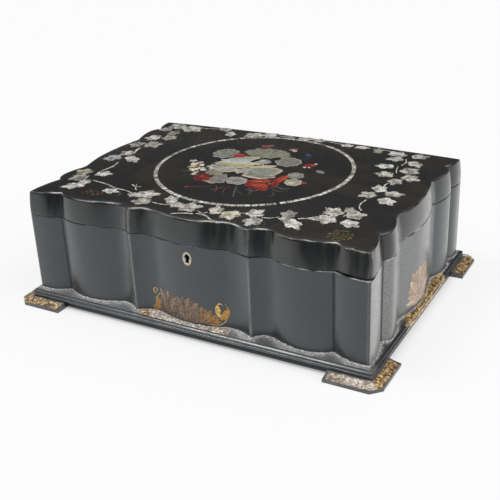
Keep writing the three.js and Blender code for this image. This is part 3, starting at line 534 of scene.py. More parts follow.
wall_profile = [*((0, z) for z in (11.8, 20, 30, 40, 50, 60, 70, 78, 84, 85.8)), (-0.1, 86.2), (-0.32, 86.42),
                (-0.7, SEAM), (-5.6, SEAM), (-6, 86.2), (-6, 11.8)]
case_wall = loft_piece("case_wall", [raised(serpentine(o), z) for o, z in wall_profile],
                       walls.material, "case")
turns = turning(serpentine(0))
ridge, notch = np.clip(turns / 0.3 - 0.35, 0, 1), np.clip(-turns / 0.16 - 0.3, 0, 1)
wear = []
for out, z in wall_profile:
    x, y = serpentine(out).T
    chipped = patches(serpentine(out), z, 9, 0.5, 1.6)
    often = zone(x, 82, 168, 10) * (y < 0)  # the front right is handled most
    # The seam's rim: chipped wear, and a painted highlight line along the edge under the lid.
    rim = (0.2 + 0.6 * often + 0.4 * often * zone(x, 140, 168, 3)) * chipped * (-1 < out < 0)
    # Painted glare: the right side is painted lighter, standing in for the bright floor it mirrors.
    painted_glare = (0.2 * zone(y, -130, -20, 30) + 0.25 * zone(y, -130, -74, 14)) * (x > 155) * (y > -113.5)
    # Pale lines on the ridges: rubbed wear and painted highlights.
    wear.append(np.maximum(rim, np.maximum(0.36 * ridge**1.5 * (0.6 + 0.4 * chipped), painted_glare) * (out == 0)))
# Notches are painted black: painted shade.
add_marks(case_wall, wear=wear, deep=[0.8 * notch * (out == 0) for out, _ in wall_profile])
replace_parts(case_wall, "carcass_wall")
print("ridges and notches round the wall:", int((ridge > 0.5).sum()), int((notch > 0.5).sum()))


# %% Cuts for hinges and the keyhole
KEYHOLE_X, KEYHOLE_Z = 3.3, 76.0
PLATE_WIDTH, PLATE_HEIGHT, PLATE_MIDDLE = 8.8, 12.4, 74.6
HINGE_AT, LEAF_HALF, RECESS_DEEP, BEHIND = 95, 18.3, 109.5, 117


def prism(outline, y0, y1):
    """A tool for cutting: an outline in X and Z, drawn from y0 to y1."""
    points = [(x, y, z) for y in (y0, y1) for x, z in outline]
    return face_outwards(add_mesh("cutter", points, bar_faces(2, len(outline))))


def hinge_tools(low, high):
    """Tools for the recesses of the two hinge leaves, from low to high."""
    return [prism([(x - LEAF_HALF, low), (x + LEAF_HALF, low), (x + LEAF_HALF, high), (x - LEAF_HALF, high)],
                  RECESS_DEEP, BEHIND) for x in (-HINGE_AT, HINGE_AT)]


def cut_away(piece, tools):
    """Cuts the tools out of the piece for good, and removes them."""
    for tool in tools:
        change = piece.modifiers.new("cut", "BOOLEAN")
        change.object, change.solver = tool, "EXACT"
        with bpy.context.temp_override(object=piece, active_object=piece, selected_objects=[piece]):
            bpy.ops.object.modifier_apply(modifier=change.name)
        bpy.data.objects.remove(tool)
    shade(piece)


def oval(gap):
    turn = np.arange(48) * 2 * np.pi / 48
    return np.stack([KEYHOLE_X + (PLATE_WIDTH + gap) / 2 * np.cos(turn),
                     PLATE_MIDDLE + (PLATE_HEIGHT + gap) / 2 * np.sin(turn)], 1)


def keyhole(gap):
    """A round hole over a straight slot."""
    radius, half, low = 2.6 + gap, 1.75 + gap, KEYHOLE_Z - 5.4 - gap
    turn = np.linspace(-math.acos(half / radius), math.pi + math.acos(half / radius), 24)
    circle = np.stack([KEYHOLE_X + radius * np.cos(turn), KEYHOLE_Z + radius * np.sin(turn)], 1)
    return np.concatenate([[(KEYHOLE_X + half, low)], circle, [(KEYHOLE_X - half, low)]])


cut_away(case_wall, [prism(oval(0.3), -119, -114.35), prism(keyhole(0.3), -118, -100), *hinge_tools(85.1, 88)])
print("case wall after its cuts:", len(case_wall.data.vertices))

# %% [markdown]
# ## The lid
# The lid is one shell: its side leans in a little towards the top, then rolls over into a shallow
# dome. The lean matters more than it looks, because it decides what the side mirrors: where it leans
# further, the side mirrors the dark room instead of the white floor. It was bent by hand, so it
# leans further in some stretches. There the side is also painted black as painted dark reflection, and
# its top edge carries a painted highlight. The dome is higher along the back, as the frame's lid is.
# %% Shape of the lid
LID_RISE, FRONT_RISE, BACK_RISE = 4.5, 0.6, 2.2
GAPE = 1.3
LEANING = [(-146, -131, 1, 9), (-95, -77, 0.4, 16), (-51, -38, 0.8, 14), (16, 49, 1, 14), (61, 79, 1, 12),
           (104, 137, 1, 14), (146, 166, 1, 8)]  # from, to, how much, soft border


def dome(x, y):
    t = y / HALF_DEPTH
    across = LID_RISE * (1 - t * t) + BACK_RISE * t * (t + 1) / 2 + FRONT_RISE * t * (t - 1) / 2
    return np.maximum(0, 1 - (x / HALF_LENGTH) ** 2) * np.maximum(0, across)


def on_lid(x, y, above=0.0):
    """Height of the lid's face at a place away from its rolled edge."""
    return PANEL_TOP - 0.15 + dome(x, y) + above


def bands(outline):
    """1 where the front of the lid leans in."""
    x, y = outline.T
    in_front = np.where(x > 150, zone(y, -130, -112, 3), y < -100)
    return np.max([share * zone(x, low, high, soft) for low, high, share, soft in LEANING], 0) * in_front


def sprung(outline):
    """1 at the front right corner, where the lid's edge has worn away and the seam gapes."""
    return zone(outline[:, 0], 134, 166, 6) * (outline[:, 1] < -100)


def lid_ring(out, z, share):
    """The lid's outline at one level. Its top leans in, and its bottom edge lifts where it is sprung."""
    line = serpentine(out)
    if z < 88:
        return raised(line, z + GAPE * sprung(line) + share * dome(*line.T))
    bent = 2.3 * bands(line) * (1 + 0.35 * lumps(line, 60, 5))
    lean = np.maximum(patches(line, 40, 26, 0.2, 0.4) * (line[:, 1] > -100), bent)
    lean *= np.clip((z - 87.4) / 19, 0, 1) ** 1.15 * np.clip((out + 5.8) / 3.4, 0, 1)
    line += (serpentine(out - 1) - line) * lean[:, None]
    return raised(line, z + share * dome(*line.T))


# %% Shell of the lid
lid_side = [(-6, PANEL_BOTTOM, 0), (-6, 87.2, 0), (-5.6, LID_BOTTOM, 0), (-0.7, LID_BOTTOM, 0),
            (-0.32, 86.98, 0), (-0.1, 87.2, 0), (0, 87.6, 0), (0, 89.5, 0), (-0.05, 92, 0), (-0.16, 94.5, 0),
            (-0.36, 97, 0.1),
            (-0.62, 99.5, 0.25), (-0.92, 102, 0.5), (-1.24, 104.3, 0.8), (-1.52, 106, 1), (-1.72, 107.1, 1),
            (-1.92, 107.75, 1), (-2.2, 108.2, 1), (-2.65, 108.5, 1), (-3.6, 108.7, 1), (-5.8, 108.85, 1)]
edge, middle_shape = serpentine(-5.8), straight(HALF_LENGTH * 0.5, HALF_DEPTH * 0.5, 20)
panel = [edge * (1 - share) + middle_shape * share for share in np.linspace(0, 1, 16)[1:]]
panel += [middle_shape * share for share in np.linspace(1, 0, 10)[1:-1]]
rings = [lid_ring(*level) for level in lid_side] + [raised(line, on_lid(*line.T)) for line in panel]
lid_shell = loft_piece("lid_shell", rings, lid_coat.material, "lid",
                       centres=[(0, 0, PANEL_BOTTOM), (0, 0, on_lid(0, 0))])
wear, deep = [], []
for out, z, _ in lid_side:
    line = serpentine(out)
    # Where the side leans in it is painted black: painted dark reflection of the room. Notches and the bottom
    # edge of the gaping corner get painted shade.
    painted_dark_reflection = bands(line) * patches(line, z / 4, 4, 0.9, 0.7) * np.interp(z, (87, 92, 100), (0.75, 0.85, 1))
    deep.append(np.maximum.reduce([painted_dark_reflection, 0.8 * notch, sprung(line) * (z < 88)]) * (out > -2))
    # Along the top edge: wear, and a painted highlight where the leaning stretches would glint. The side's
    # ridges get painted highlight lines too.
    rim = patches(line, 80, 12, 0.45, 1.5) * (0.2 + 1.2 * bands(line)) * (1 if z < 108.4 else 0.7)
    wear.append(np.maximum(0.25 * ridge * (out > -3) * (z > 88), rim * (107.5 < z < 108.6)))
flat = [np.zeros(len(lid_shell.data.vertices) - len(lid_side) * len(ridge))]
add_marks(lid_shell, wear=wear + flat, deep=deep + flat)
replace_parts(lid_shell, "lid_top", "lid_rim")
cut_away(lid_shell, hinge_tools(85, 88.25))
print("lid shell points:", len(lid_shell.data.vertices))

# %% [markdown]
# ## Plinth
# The box stands on a straight frame with a plain fascia and two half-round reeds, planed by hand. A
# section pulled round the frame makes it. The faintest waver is added to the section, because
# reflections along perfectly straight mouldings are what gives a computer's work away.
# %% Plinth moulding
SIDE_STEP = 2.0
EVERYWHERE = 1e3


def reed(out, middle, radius=1.4, steps=12):
    turn = np.linspace(-np.pi / 2, np.pi / 2, steps + 1)
    return [(out + radius * math.cos(a), middle + radius * math.sin(a)) for a in turn]


def plinth_x(out):
    """Half the length, out mm outside the case. The plinth stands out SIDE_STEP less at the sides."""
    return HALF_LENGTH + (out - SIDE_STEP if out > 0 else out)


plinth_profile = [(-20, 2.4), (5.7, 2.4), (6.02, 2.5), (6.1, 2.8), (6.1, 4.4), (6.1, 5.9), (5.9, 6.2),
                  *reed(5.6, 7.6), *reed(5.1, 10.4)[1:], (4.2, 11.8), (-20, 11.8)]
rings = []
for out, z in plinth_profile:
    ring = raised(straight(plinth_x(out), HALF_DEPTH + out, 0.9 if out > 0 else 0.5), z)
    if out > 0:
        waver = 0.09 * lumps(ring, z, 26) - 0.08
        for axis, reach in ((0, plinth_x(out)), (1, HALF_DEPTH + out)):
            ring[:, axis] += waver * (np.abs(ring[:, axis]) > reach - 1) * np.sign(ring[:, axis])
    rings.append(ring)
plinth = loft_piece("plinth_frame", rings, comp.material, "case")
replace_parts(plinth, "plinth_moulding")
places = np.concatenate(rings)
x, y, z = places.T
gilded = zone(y, -40, 62, 8) * (np.abs(x) > HALF_LENGTH + 1) * zone(z, 4.5, 13, 1)
# A painted highlight along the upper reed's arris at the front, put on as a pale wear line.
painted_arris_highlight = zone(z, 11.0, 11.7, 0.3) * (y < -HALF_DEPTH) * zone(x, -12, 158, 20) * patches(places, 0, 14, 0.75, 0.9)
# The fascia below the reeds is painted black as painted shade under the plinth; the plinth's sides are painted
# darker.
sides = 0.75 * zone(np.abs(x), HALF_LENGTH + 1, EVERYWHERE, 2) * zone(y, -HALF_DEPTH + 6, EVERYWHERE, 12)
add_marks(plinth, gilt=[gilded], wear=[painted_arris_highlight], soot=[np.maximum(zone(z, 0, 6.2, 0.3), sides) * (1 - gilded)])
print("plinth points:", len(places))

# %% [markdown]
# ## Skirt
# A fillet of painted composition slopes up from the plinth's edge to the wall. Along the wall's foot it
# has broken down into a rough, pale crust, so the mesh is fine enough there to be lumpy in earnest.
# Marks on its points tell the finish where the crust, the darker stretches and the remains of gilding are.
# %% Skirt with its crust
EDGE_X, EDGE_Y = 167.0, 119.0
wall_foot, skirt_edge = serpentine(0.12), straight(EDGE_X - 0.1, EDGE_Y - 0.1, 1.2)
gap = np.linalg.norm(wall_foot - skirt_edge, axis=1)
rings = [raised(wall_foot, 11.8), raised(skirt_edge, 11.8), raised(skirt_edge, 12.0)]
marks = {name: [np.zeros(len(gap))] * len(rings) for name in ("crust", "gilt", "pale", "soot")}
for share in np.linspace(0, 1, 30):
    ring = skirt_edge + (wall_foot - skirt_edge) * share
    x, y = ring.T
    inside = np.minimum(EDGE_X - np.abs(x), EDGE_Y - np.abs(y))
    from_wall = gap * (1 - share)
    lump = 0.5 + 0.6 * lumps(ring, 0, 2.2) + 0.45 * lumps(ring, 7, 0.9)
    crust = np.exp(-from_wall / 1.6) * np.clip(0.75 + 0.6 * lumps(ring, 3, 17), 0.45, 1.25)
    height = 12.13 + 0.34 * inside + 0.75 * crust * np.clip(lump, -0.2, 1.3) + 0.10 * lumps(ring, 5, 9)
    rings.append(raised(ring, height))
    in_front, beside = y < -HALF_DEPTH + 9, np.abs(x) > HALF_LENGTH - 9
    front = zone(x, -49, 39, 5) * in_front
    sides = zone(y, -34, 65, 7) * beside * zone(inside + lump, -9, 3.8, 1.5)
    marks["crust"].append(np.clip(2.8 * crust * (0.4 + lump), 0, 1))
    marks["gilt"].append(np.maximum(front, sides) * zone(from_wall + 0.9 * lump, 1.6, 20, 1.5))
    marks["pale"].append(zone(x, -40, 60, 5) * in_front)
    # Darker beside the side walls.
    beside_wall = zone(np.abs(x), HALF_LENGTH - 9, EVERYWHERE, 4) * zone(y, -HALF_DEPTH + 4, EVERYWHERE, 10)
    marks["soot"].append(0.8 * beside_wall)
skirt = loft_piece("skirt", rings, comp.material, "case", sharp=60)
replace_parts(skirt, "plinth_skirt")
add_marks(skirt, **marks)
print("skirt points:", len(skirt.data.vertices))

# %% [markdown]
# ## Bracket feet
# Each foot is an L under the plinth's corner, flared outwards in a shallow cove that was gilded. A
# section is pulled from one arm's end round the corner to the other, and its corner is cut off more
# and more towards the toe, which gives the chamfer.
# %% Feet
FOOT_OUT, FOOT_ARM, CHAMFER = 17.5, 48.0, 9.0
cove = [(16.9 - 10.8 * s, 3.15 + 2.85 * s**1.45) for s in np.linspace(0, 1, 15)]
foot_profile = [(-18, 0), (17.1, 0), (FOOT_OUT, 0.35), (FOOT_OUT, 2.6), (17.35, 3.0), *cove, (6.1, 2.4),
                (-18, 2.4)]
ARM_END_X, ARM_END_Y = plinth_x(FOOT_OUT) - FOOT_ARM, HALF_DEPTH + FOOT_OUT - FOOT_ARM


def foot_line(out):
    """From one arm's end round the cut corner to the other arm's end."""
    x, y = plinth_x(out), HALF_DEPTH + out
    cut = max(0.5, CHAMFER - (plinth_x(FOOT_OUT) - x) - (FOOT_OUT - out))
    ends = [(ARM_END_X, y), (x - cut, y), (x, y - cut), (x, ARM_END_Y)]
    line = [np.linspace(a, b, n, endpoint=False) for a, b, n in zip(ends, ends[1:], (44, 6, 44))]
    return np.concatenate([*line, [ends[-1]]])


def make_foot(name, flip, pale):
    """A foot for the corner that flip, a sign for X and one for Y, turns it to."""
    rows, gilts, pales = [], [], []
    for out, z in foot_profile:
        row = raised(foot_line(out), z)
        worn = lumps(row[:, :2] * flip, z, 6)
        if out > 6.5 and z > 1:
            row[:, 2] -= 0.16 * np.clip(worn, 0, 1)
        arm = np.minimum(row[:, 0] - ARM_END_X, row[:, 1] - ARM_END_Y)
        on_cove = z > 2.9 and 6.3 < out < 17
        gilts.append(zone(arm, 2.5, 200, 3) * zone(out + 1.6 * worn, 8.2, 16.6, 1.8) * on_cove)
        pales.append(pale * (row[:, 0] < row[:, 1] + HALF_LENGTH - HALF_DEPTH))
        rows.append(row)
    sections = np.stack(rows, 1) * (*flip, 1)
    foot = make_piece(name, sections.reshape(-1, 3), bar_faces(*sections.shape[:2]), comp.material, "case",
                      40)
    add_marks(foot, gilt=np.stack(gilts, 1), pale=np.stack(pales, 1))
    return foot


for place, flip, pale in (("front_left", (-1, -1), 0.15), ("front_right", (1, -1), 0.9),
                          ("back_left", (-1, 1), 0.2), ("back_right", (1, 1), 0.2)):
    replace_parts(make_foot(f"bracket_foot_{place}", flip, pale), f"foot_{place}")
print("feet stand", FOOT_OUT, "mm out")

# %% [markdown]
# ## Plates and strokes that follow a surface
# Pearl inlay is thin shell, cut to shape and bedded in the lacquer until almost level with it. Paint
# and gilding lie on top in strokes. Both are made the same way: a flat shape is drawn in two numbers,
# and a surface function wraps it onto the lid or a wall. Every plate and stroke is a closed shape of
# its own, and many of them share one piece.
# %% Surfaces and the decorator
wall_line = serpentine(0)
near = wall_line[(wall_line[:, 1] < -90) & (np.abs(wall_line[:, 0]) < 155)]
near = near[np.argsort(near[:, 0])]
beside = wall_line[(wall_line[:, 0] > 140) & (np.abs(wall_line[:, 1]) < 105)]
beside = beside[np.argsort(beside[:, 1])]


def lid_face(u, v, above):
    return np.column_stack([u, v, on_lid(u, v, above)])


def front_face(u, v, above):
    return np.column_stack([u, np.interp(u, near[:, 0], near[:, 1]) - above, v])


def side_face(sign):
    def face(u, v, above):
        return np.column_stack([sign * (np.interp(u, beside[:, 1], beside[:, 0]) + above), u, v])

    return face


def smooth_line(points, step=0.8):
    """A curve through the points. Further columns, such as width, go along smoothly."""
    p = np.asarray(points, float)
    p = np.vstack([2 * p[0] - p[1], p, 2 * p[-1] - p[-2]])
    line = []
    for a, b, c, d in zip(p, p[1:], p[2:], p[3:]):
        count = max(2, int(np.linalg.norm((c - b)[:2]) / step))
        t = np.arange(count)[:, None] / count
        square, cube = 2 * a - 5 * b + 4 * c - d, 3 * b - a - 3 * c + d
        line.append(0.5 * (2 * b + (c - a) * t + square * t**2 + cube * t**3))
    return np.concatenate([*line, [p[-2]]])


class Decoration:
    """Gathers closed plates and strokes on one surface and makes them one piece."""

    SUNK = 0.1

    def __init__(self, surface):
        self.surface, self.points, self.faces, self.tints, self.lines, self.count = surface, [], [], [], [], 0

    def add(self, flat, above, faces, tint, line):
        size = len(flat)
        self.points.append(self.surface(*flat.T, above))
        self.faces += [tuple(self.count + i for i in face) for face in faces]
        self.tints.append(np.column_stack([np.broadcast_to(tint, (size, 3)), np.ones(size)]))
        self.lines.append(np.broadcast_to(line, size))
        self.count += size

    def stroke(self, points, height, tint):
        """A rounded line through points of (along, across, width)."""
        line = smooth_line(points)
        ahead = np.gradient(line[:, :2], axis=0)
        ahead /= np.maximum(np.linalg.norm(ahead, axis=1, keepdims=True), 1e-9)
        aside = np.column_stack([-ahead[:, 1], ahead[:, 0]]) * np.maximum(line[:, 2:3], 0.12) / 2
        levels = ((-1, -self.SUNK), (-0.86, height * 0.75), (0, height), (0.86, height * 0.75), (1, -self.SUNK))
        flat = np.stack([line[:, :2] + k * aside for k, _ in levels], 1).reshape(-1, 2)
        self.add(flat, np.tile([h for _, h in levels], len(line)), bar_faces(len(line), 5), tint, 0.0)

    def plate(self, outline, height, tint, rays=0.0, edge_tint=None, inner=(0.3, 0.6)):
        """A thin plate from a closed outline. Rays, one number for each outline point, mark engraved lines.

        A wide plate needs more inner rings, or its flat faces sink into a round wall."""
        size, middle, flats = len(outline), outline.mean(0), len(inner)

        def spread(rim, centres):
            """One number for each ring, from the inside out, and for the two centres."""
            return np.concatenate([np.repeat(rim, size), centres])

        shares = (*inner, 0.84, 0.96, 1.0, 1.0)
        flat = np.concatenate([*(middle + share * (outline - middle) for share in shares), [middle] * 2])
        above = spread([height] * (flats + 1) + [height * 0.96, height * 0.6, -self.SUNK], (height, -self.SUNK))
        line = np.tile(np.broadcast_to(rays, size), flats + 4) * np.repeat([1] * flats + [0.9, 0.1, 0, 0], size)
        edge = spread([0] * flats + [0.3, 0.9, 1, 1], (0, 1))[:, None]
        tint = np.asarray(tint) * (1 - edge) + np.asarray(tint if edge_tint is None else edge_tint) * edge
        self.add(flat, above, loft_faces(flats + 4, size, True), tint, np.append(line, (0, 0)))

    def piece(self, name, material, body, slot):
        made = make_piece(name, np.concatenate(self.points), self.faces, material, body, 50)
        colours = made.data.attributes.new("tint", "FLOAT_COLOR", "POINT")
        colours.data.foreach_set("color", np.concatenate(self.tints).astype(np.float32).ravel())
        add_marks(made, line=self.lines)
        print(name, "has", self.count, "points")


# %% Outlines of leaves, petals and flowers
def placed(outline, x, y, length, width, angle):
    turn = math.radians(angle)
    u, v, c, s = outline[:, 0] * length / 2, outline[:, 1] * width / 2, math.cos(turn), math.sin(turn)
    return np.column_stack([x + u * c - v * s, y + u * s + v * c])


def lobed(tips, depth, waves, spread, power, seed, size=120):
    """An outline with a lobe at every tip of (angle, reach), and the rays down their middles."""
    turn = np.arange(size) * 2 * np.pi / size
    reach, rays = np.full(size, depth), np.zeros(size)
    for angle, length in tips:
        apart = (turn - math.radians(angle) + np.pi) % (2 * np.pi) - np.pi
        reach = np.maximum(reach, depth + (length - depth) * np.clip(1 - np.abs(apart) / spread, 0, 1) ** power)
        rays[np.abs(apart) < 0.035] = 1
    reach = (np.roll(reach, 1) + 2 * reach + np.roll(reach, -1)) / 4
    reach *= 1 + waves * np.sin(23 * turn + 5 * seed) + 0.8 * waves * np.sin(34 * turn + 2.3 * seed)
    return np.column_stack([reach * np.cos(turn), reach * np.sin(turn)]), rays


def vine_leaf(seed):
    wobble = [0, *(6 * math.sin(seed * k) for k in (1.3, 2.1, 3.7, 4.9))]
    tips = zip(np.add((0, 64, -64, 128, -128), wobble), (1.0, 0.92, 0.92, 0.74, 0.74))
    return lobed(tips, 0.52, 0.075, 0.6, 0.66, seed)


def blossom(petals, seed):
    tips = [(360 * i / petals + 9 * math.sin(seed + i), 0.96) for i in range(int(petals))]
    return lobed(tips, 0.74, 0.014, 3.4 / petals, 0.45, seed)


def slim_leaf(bend=0.0, size=40):
    turn = np.arange(size) * 2 * np.pi / size
    x, y = np.cos(turn), np.sin(turn) * np.abs(np.sin(turn)) ** 0.45
    return np.column_stack([x, y + bend * (x * x - 1)])


print("a vine leaf has", len(vine_leaf(0)[0]), "points round its edge")

# %% [markdown]
# ## Mother-of-pearl border
# A garland of vine leaves runs round the lid, and a band of short shell strips circles the middle.
# Shell is cut from different places of the mollusc, so one leaf is white, the next grey or straw
# coloured. Leaves and stems are listed in tables of plain text, which are quicker to read and correct
# than brackets. A row ends with a slash. A word is a tint's name, and so are three numbers with commas.
# %% Tints and tables
SHELL_TONES = np.array([(0.15, 0.14, 0.127), (0.33, 0.315, 0.29), (0.60, 0.58, 0.545), (0.76, 0.75, 0.73)])
TINTS = {
    "grey": (0.25, 0.245, 0.222), "sage": (0.29, 0.295, 0.215), "cream": (0.66, 0.58, 0.42),
    "straw": (0.55, 0.48, 0.28), "silver": (0.40, 0.39, 0.355), "red": (0.27, 0.020, 0.014),
    "scarlet": (0.45, 0.050, 0.022), "crimson": (0.14, 0.010, 0.013), "maroon": (0.055, 0.006, 0.007),
    "gold": (0.72, 0.46, 0.17), "ochre": (0.42, 0.21, 0.05), "leaf": (0.060, 0.068, 0.040),
    "ink": (0.012, 0.011, 0.010), "chalk": (0.9, 0.87, 0.8), "dusk": (0.12, 0.12, 0.10),
    "rose": (0.34, 0.16, 0.15), "blue": (0.04, 0.05, 0.17), "olive": (0.27, 0.20, 0.06),
    "rust": (0.20, 0.075, 0.03), "bronze": (0.225, 0.165, 0.130), "pale_bronze": (0.36, 0.26, 0.19),
    "bright": (0.95, 0.66, 0.20), "peach": (0.70, 0.49, 0.36), "sand": (0.80, 0.66, 0.50)}


def shell_tone(tone, warm=0.0):
    """A tone of shell from dark, 0, to white, 1."""
    colour = [np.interp(min(tone, 0.999) * 3, range(4), channel) for channel in SHELL_TONES.T]
    return np.array(colour) * (1 + 0.10 * warm, 1 - 0.02 * warm, 1 - 0.22 * warm)


def read(word):
    if "," in word:
        return tuple(float(part) for part in word.split(","))
    return TINTS[word] if word in TINTS else float(word)


def table(text):
    return [[read(word) for word in row.split()] for row in text.split("/")]


def triples(numbers):
    return np.reshape(numbers, (-1, 3))


print("tints:", len(TINTS))

# %% Vine leaves of the garland
garland = {  # x, y, length, width, angle, tone, warmth
    "left": """
        -141 100 22 18 150 .6 0 / -123 97 28 20 -25 .72 .3 / -147 87 16 13 205 .5 0 /
        -133 78 18 13 -60 .3 0 / -143 57 19 17 200 .82 .1 / -128 61 17 15 -10 .5 .2 /
        -146 32 17 17 190 .42 0 / -131 36 22 18 -40 .5 0 / -138 4 19 13 160 .62 0 /
        -125 -9 25 12 -35 .85 0 / -144 -11 20 18 215 .5 -.4 / -145 -55 19 15 170 .5 .8 /
        -126 -54 18 13 10 .92 0 / -141 -68 19 16 230 .4 0 / -129 -76 14 12 -60 .6 0 /
        -131 -87 23 14 215 .9 0""",
    "front": """
        -93 -87 18 10 0 .85 0 / -57 -83 23 16 20 .75 0 / -66 -87 11 9 190 .6 0 /
        -50 -96 19 13 200 .5 0 / -28 -86 17 12 125 .75 0 / -20 -92 12 11 -35 .55 0 /
        -7 -93 22 16 25 .6 0 / 19 -91 18 12 110 .68 .2 / 33 -92 18 17 -60 .75 .7 /
        51 -84 17 15 65 .75 0 / 57 -96 18 15 -100 .62 0 / 78 -75 15 13 110 .42 0 /
        87 -88 23 13 -40 .97 0 / 79 -83 10 8 200 .6 0 / 110 -56 19 16 150 .68 .1 /
        126 -54 18 15 30 .62 .1 / 110 -70 20 16 205 .8 .1 / 128 -70 18 13 -20 .9 0 /
        119 -47 12 9 90 .5 0""",
    "right": """
        121 -9 17 13 225 .7 0 / 138 1 18 12 25 .66 0 / 125 6 17 13 120 .82 0 / 138 -15 18 14 -40 .92 0 /
        117 42 18 14 190 .72 .2 / 138 43 18 15 -10 .58 .2 / 130 30 17 12 -90 .6 .2 /
        132 58 20 16 60 .55 .1 / 110 62 19 12 200 1 0 / 108 98 21 15 150 .78 0 / 127 100 18 13 30 .6 0 /
        111 85 17 12 210 .64 0 / 130 80 19 12 -50 .68 0""",
    "back": """
        87 99 17 9 100 .5 0 / 54 103 16 10 170 .85 0 / 68 103 16 9 10 .95 0 / 22 106 13 13 100 .5 .4 /
        6 107 20 11 0 .72 0 / -9 105 12 8 180 .4 0 / -48 98 22 19 -60 .72 .2 / -33 104 18 15 60 .85 0 /
        -73 94 21 10 -60 .8 0 / -85 105 18 11 160 .5 0"""}
stems = {  # x, y, width, and again for each further point
    "left": """
        -137 23 2.4 -136 15 2.8 -133 6 1.6 / -131 -22 1.2 -129 -34 2 -132 -48 1.4 /
        -133 90 1 -131 80 1.2 -134 64 1 / -137 52 1 -138 42 1.2 -136 30 1 /
        -135 -62 1 -133 -72 1.2 -132 -82 1""",
    "front": """
        -124 -71 1.4 -105 -75 1.8 -92 -80 1.6 -78 -82 1.2 -66 -87 1.4 /
        -82 -68 .8 -76 -71 1.2 -70 -70 .7 / -78 -66 .7 -74 -74 1.1 -70 -78 .7 /
        -42 -95 1 -32 -96 1.5 -23 -94 1.2 / -14 -109 1 -5 -104.5 1.7 4 -102.5 1.4 /
        6 -101 1 16 -102 1.6 22 -106 1.5 28 -108 .9 / 4 -96 .9 10 -99 1.2 14 -96 .9 /
        38 -88 .8 44 -86 1.1 / 60 -88 .8 66 -87 1.1 73 -82 .8 / 88 -79 1.2 95 -75 1.6 101 -68 1 /
        90 -77 1 97 -75 1.4 105 -75 1 / 82 -79 1 84 -82 1.4 88 -84 1""",
    "right": """
        128 -43 1.3 124 -38 1.2 122 -30 1.6 123 -20 1.2 / 126 12 1 125 18 1.4 127 25 1 /
        119 67 .9 121 57 1.2 124 49 1 / 121 70 1 122 79 1.3 119 88 1 / 116 -44 .9 121 -52 1.2 119 -60 .9""",
    "back": """
        -112 100 1.2 -104 103 1.5 -94 105 1.2 / 99 103 .9 92 105 1.2 80 104 .9 /
        46 104 .9 36 106 1.2 28 106 .9 / -24 106 .9 -18 105 1.1 -12 106 .9"""}
for side, leaves in garland.items():
    border = Decoration(lid_face)
    for number, (x, y, length, width, angle, tone, warm) in enumerate(table(leaves)):
        outline, rays = vine_leaf(number + len(side))
        leaf = placed(outline, x, y, length * 1.2, width * 1.28, angle)
        border.plate(leaf, 0.1, shell_tone(tone, warm), rays, shell_tone(min(1, tone * 1.15), warm))
    for stem in table(stems[side]):
        border.stroke(triples(stem), 0.09, shell_tone(0.75, 0.2))
    border.piece(f"pearl_garland_{side}", pearl_shell, "lid", "pearl_shell")

# %% Ring of shell strips
STRIPS, BROKEN = 96, 82
ring_band = Decoration(lid_face)
draw = np.random.default_rng(3)
for i in range(STRIPS):
    length = 0.44 if i == BROKEN else 0.88
    turn = np.linspace(i + 0.06, i + 0.06 + length, 8) * 2 * np.pi / STRIPS
    tone = float(np.clip(draw.normal(0.74, 0.24), 0.2, 1))
    low, high = (np.column_stack([0.5 + (91.5 + w) * np.cos(turn), 10 + (90 + w) * np.sin(turn)])
                 for w in (-1.8, 1.8))
    ring_band.plate(np.concatenate([low, high[::-1]]), 0.1, shell_tone(tone, draw.uniform(-0.2, 0.4)))
ring_band.piece("pearl_ring", pearl_shell, "lid", "pearl_shell")

# %% [markdown]
# ## The bouquet
# In the middle is a bouquet of the usual kind: garden roses of grey and cream shell with painted
# touches, small red buds, white daisies and a few sprigs. Shell petals lie in layers a few hundredths
# of a millimetre apart. The reds are paint, put on in many short petals from dark to light.
# %% Shell flowers
# Flowers: x, y, length, width, angle, petals, tint inside, tint at the edge, height. Petals: the same,
# without their number.
shell_flowers = """
    -43 33 28 31 0 9 grey silver .07 / -5 48 50 31 0 13 sage sage .06 /
    24 33 28 27 -35 8 grey silver .07 / -22 8 34 26 30 8 silver cream .07 /
    -24 -5 30 22 10 7 silver silver .08 / 14 -4 32 24 10 7 grey silver .07 /
    -18 -29 26 30 60 8 grey silver .08 / 3 -28 24 19 -10 7 silver silver .08 /
    -26 -17 18 16 30 6 sage silver .1 / 46 3 17 17 50 6 grey silver .08 /
    51 -12 18 17 -50 7 silver cream .09 / 62 21 11 7 -30 5 grey grey .06 /
    2 25 14 18 80 5 silver grey .1"""
shell_petals = """
    -21 16 46 31 50 .44,.43,.36 cream .095 / 10 1 44 29 24 .27,.29,.255 cream .1 /
    -17 21 44 8 16 .45,.53,.53 .72,.78,.78 .12 / -14 14 42 7 14 .74,.7,.56 cream .125 /
    -19 8 38 7 12 straw .45,.4,.27 .13 / -30 2 22 7 8 grey silver .12 / -32 4 16 9 60 silver cream .12 /
    -20 -8 22 8 5 silver cream .13 / 8 13 26 7 28 cream cream .125 /
    16 2 26 17 15 .3,.33,.29 silver .12 / 20 -10 24 7 15 grey cream .125 /
    0 -6 12 7 -60 silver cream .125 / -44 34 15 14 20 grey silver .1 / 26 34 14 12 -30 grey grey .1 /
    -8 48 22 10 8 sage grey .09 / 12 46 16 9 -12 sage sage .09 / -24 47 12 9 30 sage grey .09 /
    -20 -32 14 9 70 grey silver .11 / 3 -27 12 8 10 grey silver .11 / 50 -13 9 7 30 cream silver .12 /
    45 4 9 7 60 silver silver .11"""
bouquet = Decoration(lid_face)
for number, (*place, petals, inner, edge, height) in enumerate(table(shell_flowers)):
    outline, rays = blossom(petals, number)
    bouquet.plate(placed(outline, *place), height, inner, rays * 0.8, edge)
for *place, inner, edge, height in table(shell_petals):
    bouquet.plate(placed(slim_leaf(0.25), *place), height, inner, 0.0, edge)
